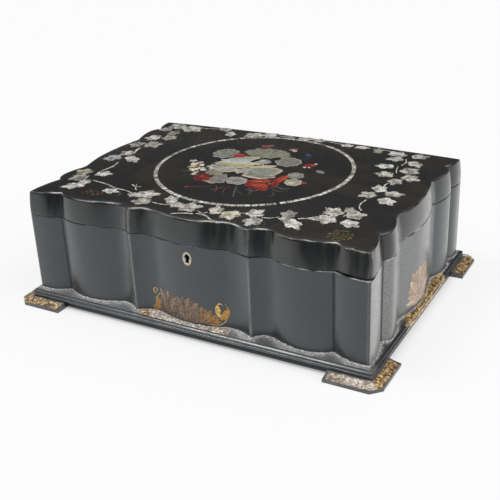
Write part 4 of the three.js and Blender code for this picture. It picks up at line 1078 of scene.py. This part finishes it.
bouquet.piece("pearl_bouquet", petal_shell, "lid", "pearl_shell")

# %% Painted flowers, buds and sprigs
# Petals: x, y, length, width, angle, tint, height. Dots: x, y, size, tint. Strokes: tint, height, then
# x, y, width for each point.
painted_petals = """
    28 -24 30 26 -20 maroon .05 / 20 -28 17 14 240 red .08 / 31 -33 17 11 -40 red .085 /
    37 -11 24 8 78 scarlet .09 / 33 -20 20 10 70 crimson .09 / 23 -20 16 9 30 scarlet .1 /
    28 -30 14 7 10 scarlet .105 / 39 -22 13 7 -75 red .1 / 24 -36 14 5 -15 crimson .095 /
    26 -24 10 6 40 red .11 / -30 -30 20 19 0 maroon .09 / -33 -27 14 9 50 crimson .11 /
    -27 -33 15 9 -30 red .115 / -32 -35 11 6 -10 crimson .12 / -25 -27 10 6 70 crimson .12 /
    -28 32 12 14 80 .3,.03,.018 .1 / -30 35 8 6 40 .42,.05,.02 .12 / 45 32 10 8 70 red .06 /
    49 35 7 4 -40 scarlet .075 / 43 28 6 5 30 crimson .075 / -17 67 12 7 -35 .22,.06,.06 .05 /
    -14 71 7 4 20 rose .06 / 12 68 9 7 40 rose .05 / 15 65 7 4 -30 .7,.5,.48 .06 /
    60 -9 6 4 0 .34,.05,.05 .05 / 33 59 10 5 -60 blue .05 / 9 36 12 8 50 ink .12 /
    -6 25 13 6 70 ink .13 / -3 -14 12 6 60 ink .13 / -9 -20 10 5 110 ink .13"""
dots = "50 38 3.4 chalk / 44 26 3.2 chalk / 48 27 2.4 chalk / -3 -28 3 rose / -14 6 4 gold"
brush_strokes = """
    gold .12 19 -25 .8 24 -22 1.4 29 -23 .8 / ochre .12 22 -30 .7 27 -27 1.2 33 -27 .7 /
    ochre .12 26 -18 .7 31 -20 1.2 34 -25 .7 / ochre .13 -34 -31 .6 -30 -29 1 -26 -30 .6 /
    gold .14 -2 8 .8 6 14 1.8 16 15 1.2 / gold .14 0 19 .7 6 17 1.3 9 12 .8 /
    chalk .135 -5 -8 .8 -1 -2 1.3 3 4 .8 / chalk .14 -40 6 .8 -28 14 1.3 -14 22 .8 /
    chalk .14 -34 -9 .8 -20 -9 1.4 -8 -3 .8 / chalk .13 4 -15 .8 18 -16 1.6 31 -8 .9 /
    chalk .14 14 -3 .4 18 4 .7 20 9 .4 / crimson .05 -32 -55 1 -24 -53 2 -12 -47 1 /
    .4,.04,.03 .055 -33 -57 2.6 -30 -54 1.2 / .22,.05,.04 .05 -9 -44 .8 -4 -50 1.2 -2 -58 .7 /
    dusk .05 0 -44 .8 -3 -49 1 -8 -55 .7 / .24,.06,.05 .05 4 -42 .7 3 -50 1 6 -57 .6 /
    dusk .05 10 -40 1 13 -49 1.6 18 -61 .8 / leaf .05 12 -44 .8 18 -50 1.2 25 -55 .7 /
    dusk .06 20 -42 1.2 26 -43 2.6 32 -41 1 / dusk .055 22 -39 1 27 -46 1.4 28 -52 .7 /
    leaf .05 38 -30 1 46 -35 2.2 56 -33 1 / dusk .045 42 -27 1 50 -29 2.4 55 -26 1 /
    leaf .045 44 -38 .8 48 -44 1.8 47 -50 .7 / leaf .05 34 -3 1 44 -1 1 52 6 .6 /
    leaf .045 36 34 .6 44 31 1 53 26 .5 / leaf .045 30 44 .8 36 52 1.1 34 60 .6 /
    leaf .045 -2 62 .8 -8 68 1.1 -17 70 .6 / leaf .045 4 62 .7 9 67 1 15 74 .5 /
    dusk .05 -56 -24 .7 -50 -20 1.1 -42 -18 .7 / leaf .045 -62 6 .7 -56 -6 1 -47 -16 .7"""
paint = Decoration(lid_face)
for *place, tint, height in table(painted_petals):
    light = tint if tint == TINTS["ink"] else [min(1, 1.5 * c + 0.02) for c in tint]
    paint.plate(placed(slim_leaf(0.2), *place), height, tint, 0.0, light)
for x, y, size, tint in table(dots):
    paint.plate(placed(blossom(5, x)[0], x, y, size, size, 0), 0.11, tint)
for tint, height, *line in table(brush_strokes):
    paint.stroke(triples(line), height, tint)

# %% Short dabs on the red flowers
dab_tints = table("maroon crimson scarlet .62,.24,.04 .05,.004,.004")[0]
draw = np.random.default_rng(21)
for x, y, reach, count in ((27, -25, 12, 26), (37, -12, 7, 10), (-29, -30, 8, 14), (-29, 33, 4, 5)):
    for _ in range(count):
        turn, far = draw.uniform(0, 2 * np.pi), reach * math.sqrt(draw.uniform(0, 0.75))
        start = np.array([x + far * math.cos(turn), y + far * math.sin(turn)])
        along = draw.uniform(0.2, 1.2)
        tint = dab_tints[draw.integers(len(dab_tints))]
        size = draw.uniform(1.6, 3.6)
        middle, end = (start + far * size * np.array([math.cos(angle), math.sin(angle)])
                       for far, angle in ((1, along), (2, along + 0.3)))
        paint.stroke([(*start, 0.3), (*middle, 0.9), (*end, 0.3)], 0.125, tint)
paint.piece("painted_flowers", flower_paint, "lid", "black_lacquer")

# %% Daisies at the bouquet's left
daisies = Decoration(lid_face)
draw = np.random.default_rng(11)
for x, y, size in table("""
    -64 4 7 / -58 -3 9 / -54 2 5 / -55 -9 7 / -51 -17 9 / -50 -4 6 / -46 -12 8 / -45 -22 6 / -41 -15 7 /
    -58 -12 5 / -44 -27 6 / -40 -5 8 / -36 -9 6"""):
    warm = draw.uniform(0.2, 1.2)
    for petal in range(5):
        angle = 72 * petal + draw.uniform(0, 25)
        u, v = (0.27 * size * wave(math.radians(angle)) for wave in (math.cos, math.sin))
        petal_outline = placed(slim_leaf(), x + 2 + u, y + v, size * 0.55, size * 0.36, angle)
        daisies.plate(petal_outline, 0.07 + 0.01 * (petal % 3), shell_tone(draw.uniform(0.7, 1), warm))
daisies.piece("pearl_daisies", pearl_shell, "lid", "pearl_shell")


# %% Worn gilt flecks on the lid
def flecks(into, middle, reach, count, tints, seed, size=(0.5, 1.6), height=0.03):
    """Scattered remains of gilding inside an ellipse."""
    draw, tints = np.random.default_rng(seed), table(tints)[0]
    for _ in range(count):
        turn, far = draw.uniform(0, 2 * np.pi), math.sqrt(draw.uniform(0, 1))
        x, y = middle[0] + reach[0] * far * math.cos(turn), middle[1] + reach[1] * far * math.sin(turn)
        length = draw.uniform(*size)
        tint = np.array(tints[draw.integers(len(tints))]) * draw.uniform(0.6, 1.1)
        leaf = slim_leaf(draw.uniform(-0.3, 0.3), 12)
        into.plate(placed(leaf, x, y, length * 1.5, length, draw.uniform(0, 180)), height, tint)


lid_gilt = Decoration(lid_face)
flecks(lid_gilt, (131, -93), (10, 11), 110, "olive .36,.27,.07 .24,.21,.08", 5, (0.5, 1.5))
flecks(lid_gilt, (-105, -95), (12, 6), 60, "rust olive", 6, (0.5, 1.5))
flecks(lid_gilt, (-82, -91), (8, 4), 25, "olive leaf", 7)
flecks(lid_gilt, (70, -100), (22, 5), 40, "rust olive", 8, (0.4, 1.1))
lid_gilt.piece("worn_gilding_lid", gilt_paint, "lid", "black_lacquer")

# %% [markdown]
# ## Gilded ornament on the walls
# The front and both sides carry a gilded acanthus plume low on the wall, with scrolls at its ends. It
# is bronze powder under varnish, so the plume is a dull brown and only the scrolls still shine. Fans
# of slim leaves give the plume its feathered edge.
# %% Front plume and scrolls
MANY_RINGS = tuple(np.linspace(0.06, 0.76, 12))


def fan(into, root, tips, width, tints, height, seed):
    """Curved leaves from a root to their tips, as one acanthus spray."""
    draw, tints = np.random.default_rng(seed), table(tints)[0]
    for number, tip in enumerate(table(tips)):
        (u, v), middle = np.subtract(tip, root), np.add(tip, root) / 2
        tint = np.array(tints[number % len(tints)]) * draw.uniform(0.8, 1.15)
        angle = math.degrees(math.atan2(v, u))
        leaf = placed(slim_leaf(0.5 if u < 0 else -0.5), *middle, math.hypot(u, v), width, angle)
        into.plate(leaf, height, tint, 0.0, tint * 1.25, (0.2, 0.4, 0.6))


# The plume's outline is listed as x, z. Scrolls are a tint, then x, z, width for each point. Their leaves
# are x, z, length, width, angle, tint.
plume = """
    -30 20 / -27 30 / -22 36 / -12 38 / 0 38.5 / 10 37 / 18 32 / 27 29 / 33 24 / 26 19 / 12 17.2 / -8 15.2 /
    -22 16.4 / -30 20"""
scrolls = """
    bright -31.4 36.6 .7 -30.4 38.8 .9 -32.4 40 1 -34.4 38 1 -33.6 35.4 .9 -31.8 35.2 .7 /
    .62,.38,.12 -24 34 .7 -27 35.4 1.1 -30.2 33 1.2 -32 28.3 1.5 -32.4 24 2.4 -34.6 21 1.2 /
    .5,.27,.08 -36 21.5 1 -33.5 21 3.6 -30 20 2.4 -27 22 .8 /
    bright 35.6 37.6 .8 34.4 39.3 1.1 32 38.6 1.2 30.2 35.6 1.5 30.4 31.6 2.6 32.4 28 3.2 35 26.5 1.4 /
    .62,.33,.1 38 37.4 .7 40.6 35 1.6 41.2 31 2 39.6 27 1.4 36 24.6 .8 /
    .78,.56,.22 22 18.6 .6 27 18.2 1 32 18.8 1.3 36.4 21.6 1.2 39.2 25.6 .8 /
    .52,.27,.09 22 22 .8 26 24.6 1.2 29 27.4 1.4 31 25 1.1 29 22 .8 /
    .48,.22,.06 16 28 .7 19 31 1.3 22 30 .8 / cream 37.5 38.4 .5 38.6 40 .6 /
    dusk -27 41.5 .3 -26 43.4 .4 -23.4 42.5 .3"""
scroll_leaves = """
    -31 26 12 5 100 .56,.31,.09 / -33 21 8 4.5 10 .6,.34,.09 / 36.6 29 12 6 60 .7,.38,.09 /
    28 23 12 6 -20 .5,.25,.08 / 31.6 33 9 3.4 95 .95,.66,.18 / 22 28 10 5 40 .48,.28,.13"""
front_gilt = Decoration(lambda u, v, above: front_face(u - 3.0, v - 2.6, above))
front_gilt.plate(smooth_line(table(plume), 1.2)[:-1], 0.04, TINTS["bronze"], inner=MANY_RINGS)
fan(front_gilt, (-20, 17), "-31 33 / -27 41.5 / -21 40 / -17 42 / -13 40.5 / -9 37", 4.6, "bronze pale_bronze",
    0.05, 1)
fan(front_gilt, (0, 17.5), "-8 38.5 / -2 41 / 5 40.5 / 10.5 39 / 14 37.5 / 17.5 34", 5, "pale_bronze bronze",
    0.055, 2)
fan(front_gilt, (16, 19), "18 34.5 / 21 32.5 / 25.5 31.5 / 29 28.5 / 31 24", 3.8, ".44,.25,.1 bronze", 0.06, 3)
for tint, *line in table(scrolls):
    front_gilt.stroke(triples(line), 0.09, tint)
for *place, tint in table(scroll_leaves):
    front_gilt.plate(placed(slim_leaf(0.3), *place), 0.075, tint)

# %% Fine lines and flecks of the plume
draw = np.random.default_rng(4)
for x in np.linspace(-26, 24, 26):
    z = 17.5 + draw.uniform(0, 8)
    rise, slant = draw.uniform(6, 13), draw.uniform(-4, 1.5)
    line = [(x, z, 0.25), (x + slant / 3, z + rise / 2, 0.5), (x + slant, z + rise, 0.2)]
    front_gilt.stroke(line, 0.07, np.array(TINTS["pale_bronze"]) * draw.uniform(0.7, 1.5))
flecks(front_gilt, (2, 27), (26, 9), 60, "pale_bronze .26,.15,.07", 9, (0.4, 1.1), 0.07)
front_gilt.piece("gilded_plume_front", gilt_paint, "case", "black_lacquer")

# %% Plumes on the sides
plume = """-19 21 / -22 29 / -20 38 / -17 46 / -8 47 / 1 48 / 9 48 / 17 45 / 22 34 / 22 22 / 14 15 / 0 14.5
    / -11 15 / -19 21"""
tips = "-22 34 / -20 41 / -18 49 / -10 48.5 / -2 50 / 6 49 / 13 49.5 / 20 44"
for name, sign in (("right", 1), ("left", -1)):
    side_gilt = Decoration(side_face(sign))
    side_gilt.plate(smooth_line(table(plume), 1.2)[:-1], 0.04, (0.56, 0.40, 0.29), inner=MANY_RINGS)
    fan(side_gilt, (2, 15), tips, 9, "peach sand .66,.47,.33", 0.06, 12)
    fan(side_gilt, (-2, 16), "-26 22 / -24 28 / 22 28 / 21 20 / 17 14", 5, "sand peach", 0.07, 13)
    flecks(side_gilt, (-2, 31), (19, 15), 80, "sand peach .36,.24,.165", 14, (0.5, 1.6), 0.08)
    side_gilt.piece(f"gilded_plume_{name}", gilt_paint, "case", "black_lacquer")

# %% [markdown]
# ## Keyhole plate and knobs
# The plate is a small oval of shell with a beaded rim, let into the wall flush with its seat. Rings
# from the keyhole's edge out to the oval give the bead and the dished middle. The tray's two knobs are
# turned from the same shell, on a lathe, so a profile spun round an axis makes them.
# %% Keyhole plate
def around(outline, steps=72):
    """Points of a star-shaped outline at even angles round the keyhole."""
    middle = np.array([KEYHOLE_X, KEYHOLE_Z - 0.8])
    following = np.roll(outline, -1, 0)
    dense = np.concatenate([np.linspace(a, b, 30, endpoint=False) for a, b in zip(outline, following)])
    u, v = (dense - middle).T
    angle, reach = np.arctan2(v, u), np.hypot(u, v)
    order = np.argsort(angle)
    turn = -np.pi + 2 * np.pi * np.arange(steps) / steps
    far = np.interp(turn, angle[order], reach[order], period=2 * np.pi)
    return middle + np.column_stack([far * np.cos(turn), far * np.sin(turn)])


hole, rim = around(keyhole(0)), around(oval(0))
plate_profile = [(0, 0), (0, 1.0), (0.06, 1.18), (0.3, 1.22), (0.55, 1.26), (0.66, 1.45), (0.78, 1.52),
                 (0.9, 1.45), (0.97, 1.2), (1, 0.9), (1, 0)]  # share of the way out from the hole, and rise
rings = [raised(hole + (rim - hole) * share, -114.45 - rise)[:, [0, 2, 1]] for share, rise in plate_profile]
plate = loft_piece("keyhole_plate", rings, carved_pearl, "case", sharp=50)
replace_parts(plate, "escutcheon")
print("plate", PLATE_WIDTH, "x", PLATE_HEIGHT, "mm")


# %% Turned knobs of the tray
def circle(x, y, radius, steps):
    turn = np.arange(steps) * 2 * np.pi / steps
    return np.stack([x + radius * np.cos(turn), y + radius * np.sin(turn)], 1)


knob_profile = [(0.02, 81.0), (2.5, 81.0), (2.55, 81.3), (2.4, 81.65), (1.75, 82.1), (1.5, 82.6), (1.48, 83.2),
                (1.8, 83.8), (2.7, 84.25), (3.25, 84.6), (3.4, 85.0), (3.3, 85.5), (2.9, 86.05), (2.2, 86.5),
                (1.3, 86.85), (0.6, 86.97), (0.02, 87.0)]
KNOB_Y = -17.87
for name, x in (("left", -74.15), ("right", 74.15)):
    rings = [raised(circle(x, KNOB_Y, radius, 40), z) for radius, z in knob_profile]
    knob = loft_piece(f"turned_knob_{name}", rings, carved_pearl, "tray",
                      centres=[(x, KNOB_Y, 81), (x, KNOB_Y, 87)], sharp=60)
    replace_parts(knob, f"tray_knob_{name}")
print("knobs made: 2, with", len(knob_profile), "rings each")

# %% [markdown]
# ## Linings, wood and metal
# The inside is lined with crimson paper, with pine where nobody looks and brass where it must wear.
# These pieces of the frame have the right shape already. They keep it, and get their finish plus a
# fine bevel, since even the sharpest board has an edge that catches light.
# %% Paper, pine, brass and steel
paper = Finish("lining_paper")
fibre = paper.grain(1.2, 4, 0.7)
blot = paper.grain(34, 4).to(0.35, 0.7)
sprig = paper.wire("TexVoronoi", "Distance", {"Vector": paper.scaled(7), "Scale": 1}).to(0.16, 0.24)
ground = paper.mix(blot, (0.26, 0.026, 0.036), (0.17, 0.018, 0.024))
paper.set(Base_Color=paper.mix(sprig, (0.33, 0.055, 0.055), ground), Roughness=fibre.to(0.3, 0.7, 0.62, 0.85))
paper.bump(fibre, 0.05, 0.7)

pine = Finish("pine")
rings = pine.grain(3.2, 4, 0.55, (14, 1, 1))
pine.set(Base_Color=pine.mix(rings.to(0.38, 0.62), (0.36, 0.20, 0.095), (0.52, 0.335, 0.18)),
         Roughness=rings.to(0.3, 0.7, 0.5, 0.72))
pine.bump(rings, 0.08, 0.6)


def metal(name, bright, tarnish, gloss, dull):
    finish = Finish(name)
    cloud, scratches = finish.grain(5, 5, 0.65).to(0.38, 0.66), finish.grain(0.5, 3, 0.6, (1, 9, 1))
    finish.set(Base_Color=finish.mix(cloud, bright, tarnish), Roughness=scratches.to(0.3, 0.7, gloss, dull),
               Metallic=cloud.to(0, 1, 1.0, 0.82))
    finish.bump(scratches, 0.02, 0.5)
    return finish


brass = metal("brass", (0.66, 0.46, 0.19), (0.33, 0.21, 0.085), 0.24, 0.42)
steel = metal("steel", (0.42, 0.41, 0.40), (0.19, 0.175, 0.16), 0.26, 0.46)
print("finishes:", [finish.material.name for finish in (paper, pine, brass, steel)])

# %% Finishes for the pieces that stay
finishes = {"lining_paper": paper.material, "pine": pine.material, "brass": brass.material,
            "steel": steel.material, "pearl_shell": carved_pearl, "black_lacquer": walls.material,
            "composition": comp.material}
dressed = 0
for part in frame["record"]["subparts"]:
    node, slot = frame["nodes"][part["node"]], part["material_slot"]
    if node.hide_render or slot not in finishes:
        continue
    node.data.materials.clear()
    node.data.materials.append(finishes[slot])
    bevel = node.modifiers.new("soft_edge", "BEVEL")
    bevel.width = (0.12 if slot in ("brass", "steel") else 0.25) * MM
    bevel.segments, bevel.limit_method, bevel.angle_limit = 2, "ANGLE", math.radians(50)
    dressed += 1
print("frame pieces dressed:", dressed)

# %% [markdown]
# ## Quilted lid lining and pincushion
# Silk over wadding is stitched down in diamonds, and between the stitches it puffs up. A product of two
# sines gives that shape exactly where the stitches are, which a simulation would only come near. The
# velvet pincushion is a small bag, stuffed hard: cloth simulation blows it up inside its compartment.
# %% Silk and velvet
silk = Finish("quilted_silk")
weave, slub = silk.grain(0.35, 2, 0.5, (1, 8, 1)), silk.grain(5, 3, 0.6, (6, 1, 1))
silk.set(Base_Color=silk.mix(slub.to(0.36, 0.66), (0.42, 0.045, 0.062), (0.30, 0.028, 0.04)),
         Roughness=weave.to(0.3, 0.7, 0.34, 0.5), Sheen_Weight=0.35, Sheen_Roughness=0.3)
silk.bump(weave + slub * 0.5, 0.03, 0.6)

velvet = Finish("velvet")
pile, nap = velvet.grain(0.6, 3, 0.7), velvet.grain(9, 4, 0.6)
velvet.set(Base_Color=velvet.mix(nap.to(0.38, 0.64), (0.20, 0.010, 0.022), (0.115, 0.006, 0.014)),
           Roughness=pile.to(0.3, 0.7, 0.75, 0.95), Sheen_Weight=0.3, Sheen_Tint=(0.75, 0.20, 0.24),
           Sheen_Roughness=0.4)
velvet.bump(pile + nap * 0.8, 0.12, 0.8)
print("soft finishes:", silk.material.name, velvet.material.name)

# %% Quilted lining of the lid
PAD_X, PAD_NEAR, PAD_FAR, PAD_TOP, PAD_LOW = 147.9, -100.6, 106.9, 103.1, 97.2
QUILT_X, QUILT_Y = 32.87, 34.58
x, y = np.meshgrid(np.linspace(-PAD_X, PAD_X, 181), np.linspace(PAD_NEAR, PAD_FAR, 125))
flat = np.column_stack([x.ravel(), y.ravel()])
u, v = (x + PAD_X) / QUILT_X, (y - PAD_NEAR) / QUILT_Y
diamond = np.abs(np.sin(np.pi * (u + v) / 2) * np.sin(np.pi * (u - v) / 2))
full = 1 - np.exp(-np.minimum.reduce([PAD_X - np.abs(x), y - PAD_NEAR, PAD_FAR - y]) / 5)
wrinkle = lumps(flat, 11, 6).reshape(x.shape)
puff = 2.1 + full * (0.5 + 3.0 * diamond**0.55 + 0.18 * wrinkle)
points = np.concatenate([raised(flat, np.maximum(PAD_TOP - puff, PAD_LOW).ravel()), raised(flat, PAD_TOP)])
grid = np.arange(x.size).reshape(x.shape)
quads = np.stack([grid[:-1, :-1], grid[:-1, 1:], grid[1:, 1:], grid[1:, :-1]], -1).reshape(-1, 4)
rim = np.concatenate([grid[0], grid[1:, -1], grid[-1, -2::-1], grid[-2:0:-1, 0]])
walls_round = np.stack([rim, np.roll(rim, -1), np.roll(rim, -1) + x.size, rim + x.size], 1)
faces = np.concatenate([quads[:, ::-1], quads + x.size, walls_round]).tolist()
lid_lining = make_piece("quilted_lining", points, faces, silk.material, "lid", 70)
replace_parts(lid_lining, "lid_pad")
print("lining points:", len(points))

# %% Buttons of the quilting
button_profile = [(1.1, 0.0), (1.9, 0.08), (2.5, 0.4), (2.8, 0.9), (2.85, 2.2)]
BUTTON_Z, BUTTON_STEPS = 99.2, 20
button = loft_faces(len(button_profile), BUTTON_STEPS, True)
places = [(-PAD_X + a * QUILT_X, PAD_NEAR + b * QUILT_Y) for a in range(1, 9) for b in range(1, 6)
          if (a + b) % 2 == 0]
places = [(x, y) for x, y in places if min(PAD_X - abs(x), PAD_FAR - y, y - PAD_NEAR) >= 8]
points, faces = [], []
for x, y in places:
    faces += [tuple(len(points) + i for i in face) for face in button]
    for radius, rise in button_profile:
        points += raised(circle(x, y, radius, BUTTON_STEPS), BUTTON_Z + rise).tolist()
    points += [(x, y, BUTTON_Z - 0.04), (x, y, BUTTON_Z + 2.2)]
make_piece("quilting_buttons", points, faces, silk.material, "lid", 70)
print("buttons:", len(places))


# %% Blow up with cloth
def points_of(piece):
    points = np.empty(3 * len(piece.data.vertices), np.float32)
    piece.data.vertices.foreach_get("co", points)
    return points.reshape(-1, 3) / MM


def set_points(piece, points):
    piece.data.vertices.foreach_set("co", (points * MM).astype(np.float32).ravel())
    piece.data.update()


def blow_up(piece, pressure, frames):
    """Runs Blender's cloth on the piece and keeps the resulting points."""
    scene, cloth = bpy.context.scene, piece.modifiers.new("cloth", "CLOTH")
    settings = cloth.settings
    settings.quality, settings.mass, settings.bending_stiffness = 5, 0.1, 0.05
    settings.tension_stiffness = settings.compression_stiffness = 8.0
    settings.effector_weights.gravity = 0
    settings.use_pressure, settings.uniform_pressure_force = True, pressure
    cloth.collision_settings.use_collision = False
    cloth.point_cache.frame_start, cloth.point_cache.frame_end = 1, frames
    for step in range(1, frames + 1):
        scene.frame_set(step)
    shaped = points_of(piece.evaluated_get(bpy.context.evaluated_depsgraph_get()))
    piece.modifiers.remove(cloth)
    scene.frame_set(1)
    set_points(piece, shaped)


# %% Pincushion
SIDES, LEVELS, STUFFING, MOST_SWELL = 96, 22, 3.0, 5.0
low, high = (np.array(c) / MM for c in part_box("pincushion"))
half, centre = (high - low)[:2] / 2 - 0.1, (high + low)[:2] / 2
turn = np.arange(SIDES) * 2 * np.pi / SIDES
square = np.column_stack([np.sign(c) * np.abs(c) ** 0.42 for c in (np.cos(turn), np.sin(turn))])
rings = []
for share in np.arange(LEVELS) / (LEVELS - 1):
    bulge = math.sin(math.pi * (0.08 + 0.84 * share)) ** 0.35
    rings.append(raised(centre + half * 0.97 * bulge * square, low[2] + 0.3 + (high[2] - low[2] - 6.5) * share))
bottom, top = rings[0], rings[-1]


def shrunk(ring, share, z):
    return raised(centre + (ring[:, :2] - centre) * share, z)


rings = [shrunk(bottom, share, bottom[0, 2]) for share in (0.1, 0.4, 0.7)] + rings
rings += [shrunk(top, share, top[0, 2] + 5.0 * (1 - share**2)) for share in np.linspace(0.86, 0.08, 14)]
cushion = loft_piece("velvet_pincushion", rings, velvet.material, "tray",
                     centres=[(*centre, rings[0][0, 2]), (*centre, rings[-1][0, 2] + 0.1)], sharp=80)
before = points_of(cushion)
blow_up(cushion, STUFFING, 14)
moved = points_of(cushion) - before
far = np.linalg.norm(moved, axis=1, keepdims=True)
after = before + moved * np.minimum(1, MOST_SWELL / np.maximum(far, 1e-6))
after[:, 2] += 0.25 * lumps(after, after[:, 2], 7)
tuft = np.exp(-((after[:, :2] - centre) ** 2).sum(1) / 18) * (after[:, 2] > high[2] - 9)
after[:, 2] -= 2.6 * tuft
set_points(cushion, np.clip(after, [*(centre - half), low[2] + 0.05], [*(centre + half), high[2] - 0.05]))
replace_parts(cushion, "pincushion")
print("pincushion moved by up to", round(float(far.max()), 1), "mm")

# %% [markdown]
# ## Floor, light and camera
# A white floor does most of the work here: black lacquer mirrors it, and at a low angle, as on the
# right-hand side, the mirror is strong. So the floor is white to the camera and to mirrors, but not
# under the box, and it keeps the box's shadow. The room above it is dark to the lacquer, which is why
# the lid's top stays black, but to the camera it goes on as pale as the floor. Two broad lamps light
# the shape, and a narrower one gives the fine glints.
# %% Floor
FLOOR = 30000
corners = [(x * FLOOR, y * FLOOR, 0) for x, y in ((-1, -1), (1, -1), (1, 1), (-1, 1))]
floor = add_mesh("floor", corners, [(0, 1, 2, 3)])
ground = Finish("pale_floor")
ground.set(Base_Color=(0.86, 0.86, 0.86), Roughness=0.85)
seen = ground.math("MAXIMUM", *(ground.wire("LightPath", ray) for ray in ("Is Camera Ray", "Is Glossy Ray")))
HALF_X, HALF_Y = 0.178, 0.130  # half of the box and its feet, in metres
past_x = ground.math("ABSOLUTE", ground.along("X")) - HALF_X
past_y = ground.math("ABSOLUTE", ground.along("Y")) - HALF_Y
share = seen * ground.math("MAXIMUM", past_x, past_y).to(-0.024, 0.002, 0.0, 0.8)
white = ground.wire("Emission", 0)
blended = ground.wire("MixShader", 0, {0: share, 1: Wire(ground, ground.shader.outputs[0]), 2: white})
ground.put(ground.tree.nodes["Material Output"].inputs["Surface"], blended)
floor.data.materials.append(ground.material)
floor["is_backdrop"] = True
print("floor nodes:", len(ground.tree.nodes))

# %% Sky
PALE_SKY, HORIZON = 0.95, 0.03
world = bpy.data.worlds.new("studio")
bpy.context.scene.world = world
world.use_nodes = True
sky = Graph(world.node_tree, "Generated")
height = sky.along("Z")
camera_ray, clear_ray, mirror_ray = (sky.wire("LightPath", f"Is {kind} Ray")
                                     for kind in ("Camera", "Transmission", "Glossy"))
mirrored = mirror_ray * sky.math("LESS_THAN", height, HORIZON)
seen = sky.math("MAXIMUM", sky.math("MAXIMUM", camera_ray, clear_ray), mirrored)
pale_sky = seen * PALE_SKY + (1 - seen) * height.to(0.35, 1.0, 0.07, 0.75)
sky.put(sky.tree.nodes["Background"].inputs["Color"], pale_sky)
print("sky nodes:", len(sky.tree.nodes))


# %% Lamps
def lamp(name, energy, angle, place):
    data = bpy.data.lights.new(name, "SUN")
    data.energy, data.angle = energy, math.radians(angle)
    towards = Vector(place).normalized()
    made = add_object(name, data)
    made.rotation_mode = "QUATERNION"
    made.rotation_quaternion = towards.to_track_quat("Z", "Y")
    print(name, "stands", round(math.degrees(math.asin(towards.z))), "degrees high")


lamp("soft_lamp_right", 1.35, 50, (0.85, 0.1, 0.8))
lamp("soft_lamp_left", 0.6, 45, (-0.5, -0.45, 1.0))
lamp("window_strip", 0.55, 16, (-0.45, -0.2, 0.87))

# %% Camera at the photograph's place
CAMERA_PLACE = Vector((376.13, -661.70, 387.83)) * MM
YAW, PITCH, ROLL = (math.radians(a) for a in (-29.77, 25.02, -2.55))
FOCUS, FRAME_SIZE, SENSOR = 882.78, 500, 36
forward = Vector((math.sin(YAW) * math.cos(PITCH), math.cos(YAW) * math.cos(PITCH), -math.sin(PITCH)))
level = Vector((math.cos(YAW), -math.sin(YAW), 0))
upward = level.cross(forward)
right = math.cos(ROLL) * level + math.sin(ROLL) * upward
up = -math.sin(ROLL) * level + math.cos(ROLL) * upward
camera_data = bpy.data.cameras.new("camera")
camera_data.sensor_width, camera_data.lens = SENSOR, SENSOR * FOCUS / FRAME_SIZE
camera_data.clip_start, camera_data.clip_end = 0.01, 100
camera = add_object("camera", camera_data)
rows = [(right[i], up[i], -forward[i], CAMERA_PLACE[i]) for i in range(3)]
camera.matrix_world = Matrix([*rows, (0, 0, 0, 1)])
bpy.context.scene.camera = camera
bpy.context.scene.view_settings.view_transform = "Standard"
print("lens:", round(camera_data.lens, 1), "mm")

# %% Sizes and finish
low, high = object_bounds()
print("visual box in mm:", [round(1000 * (b - a), 1) for a, b in zip(low, high)])
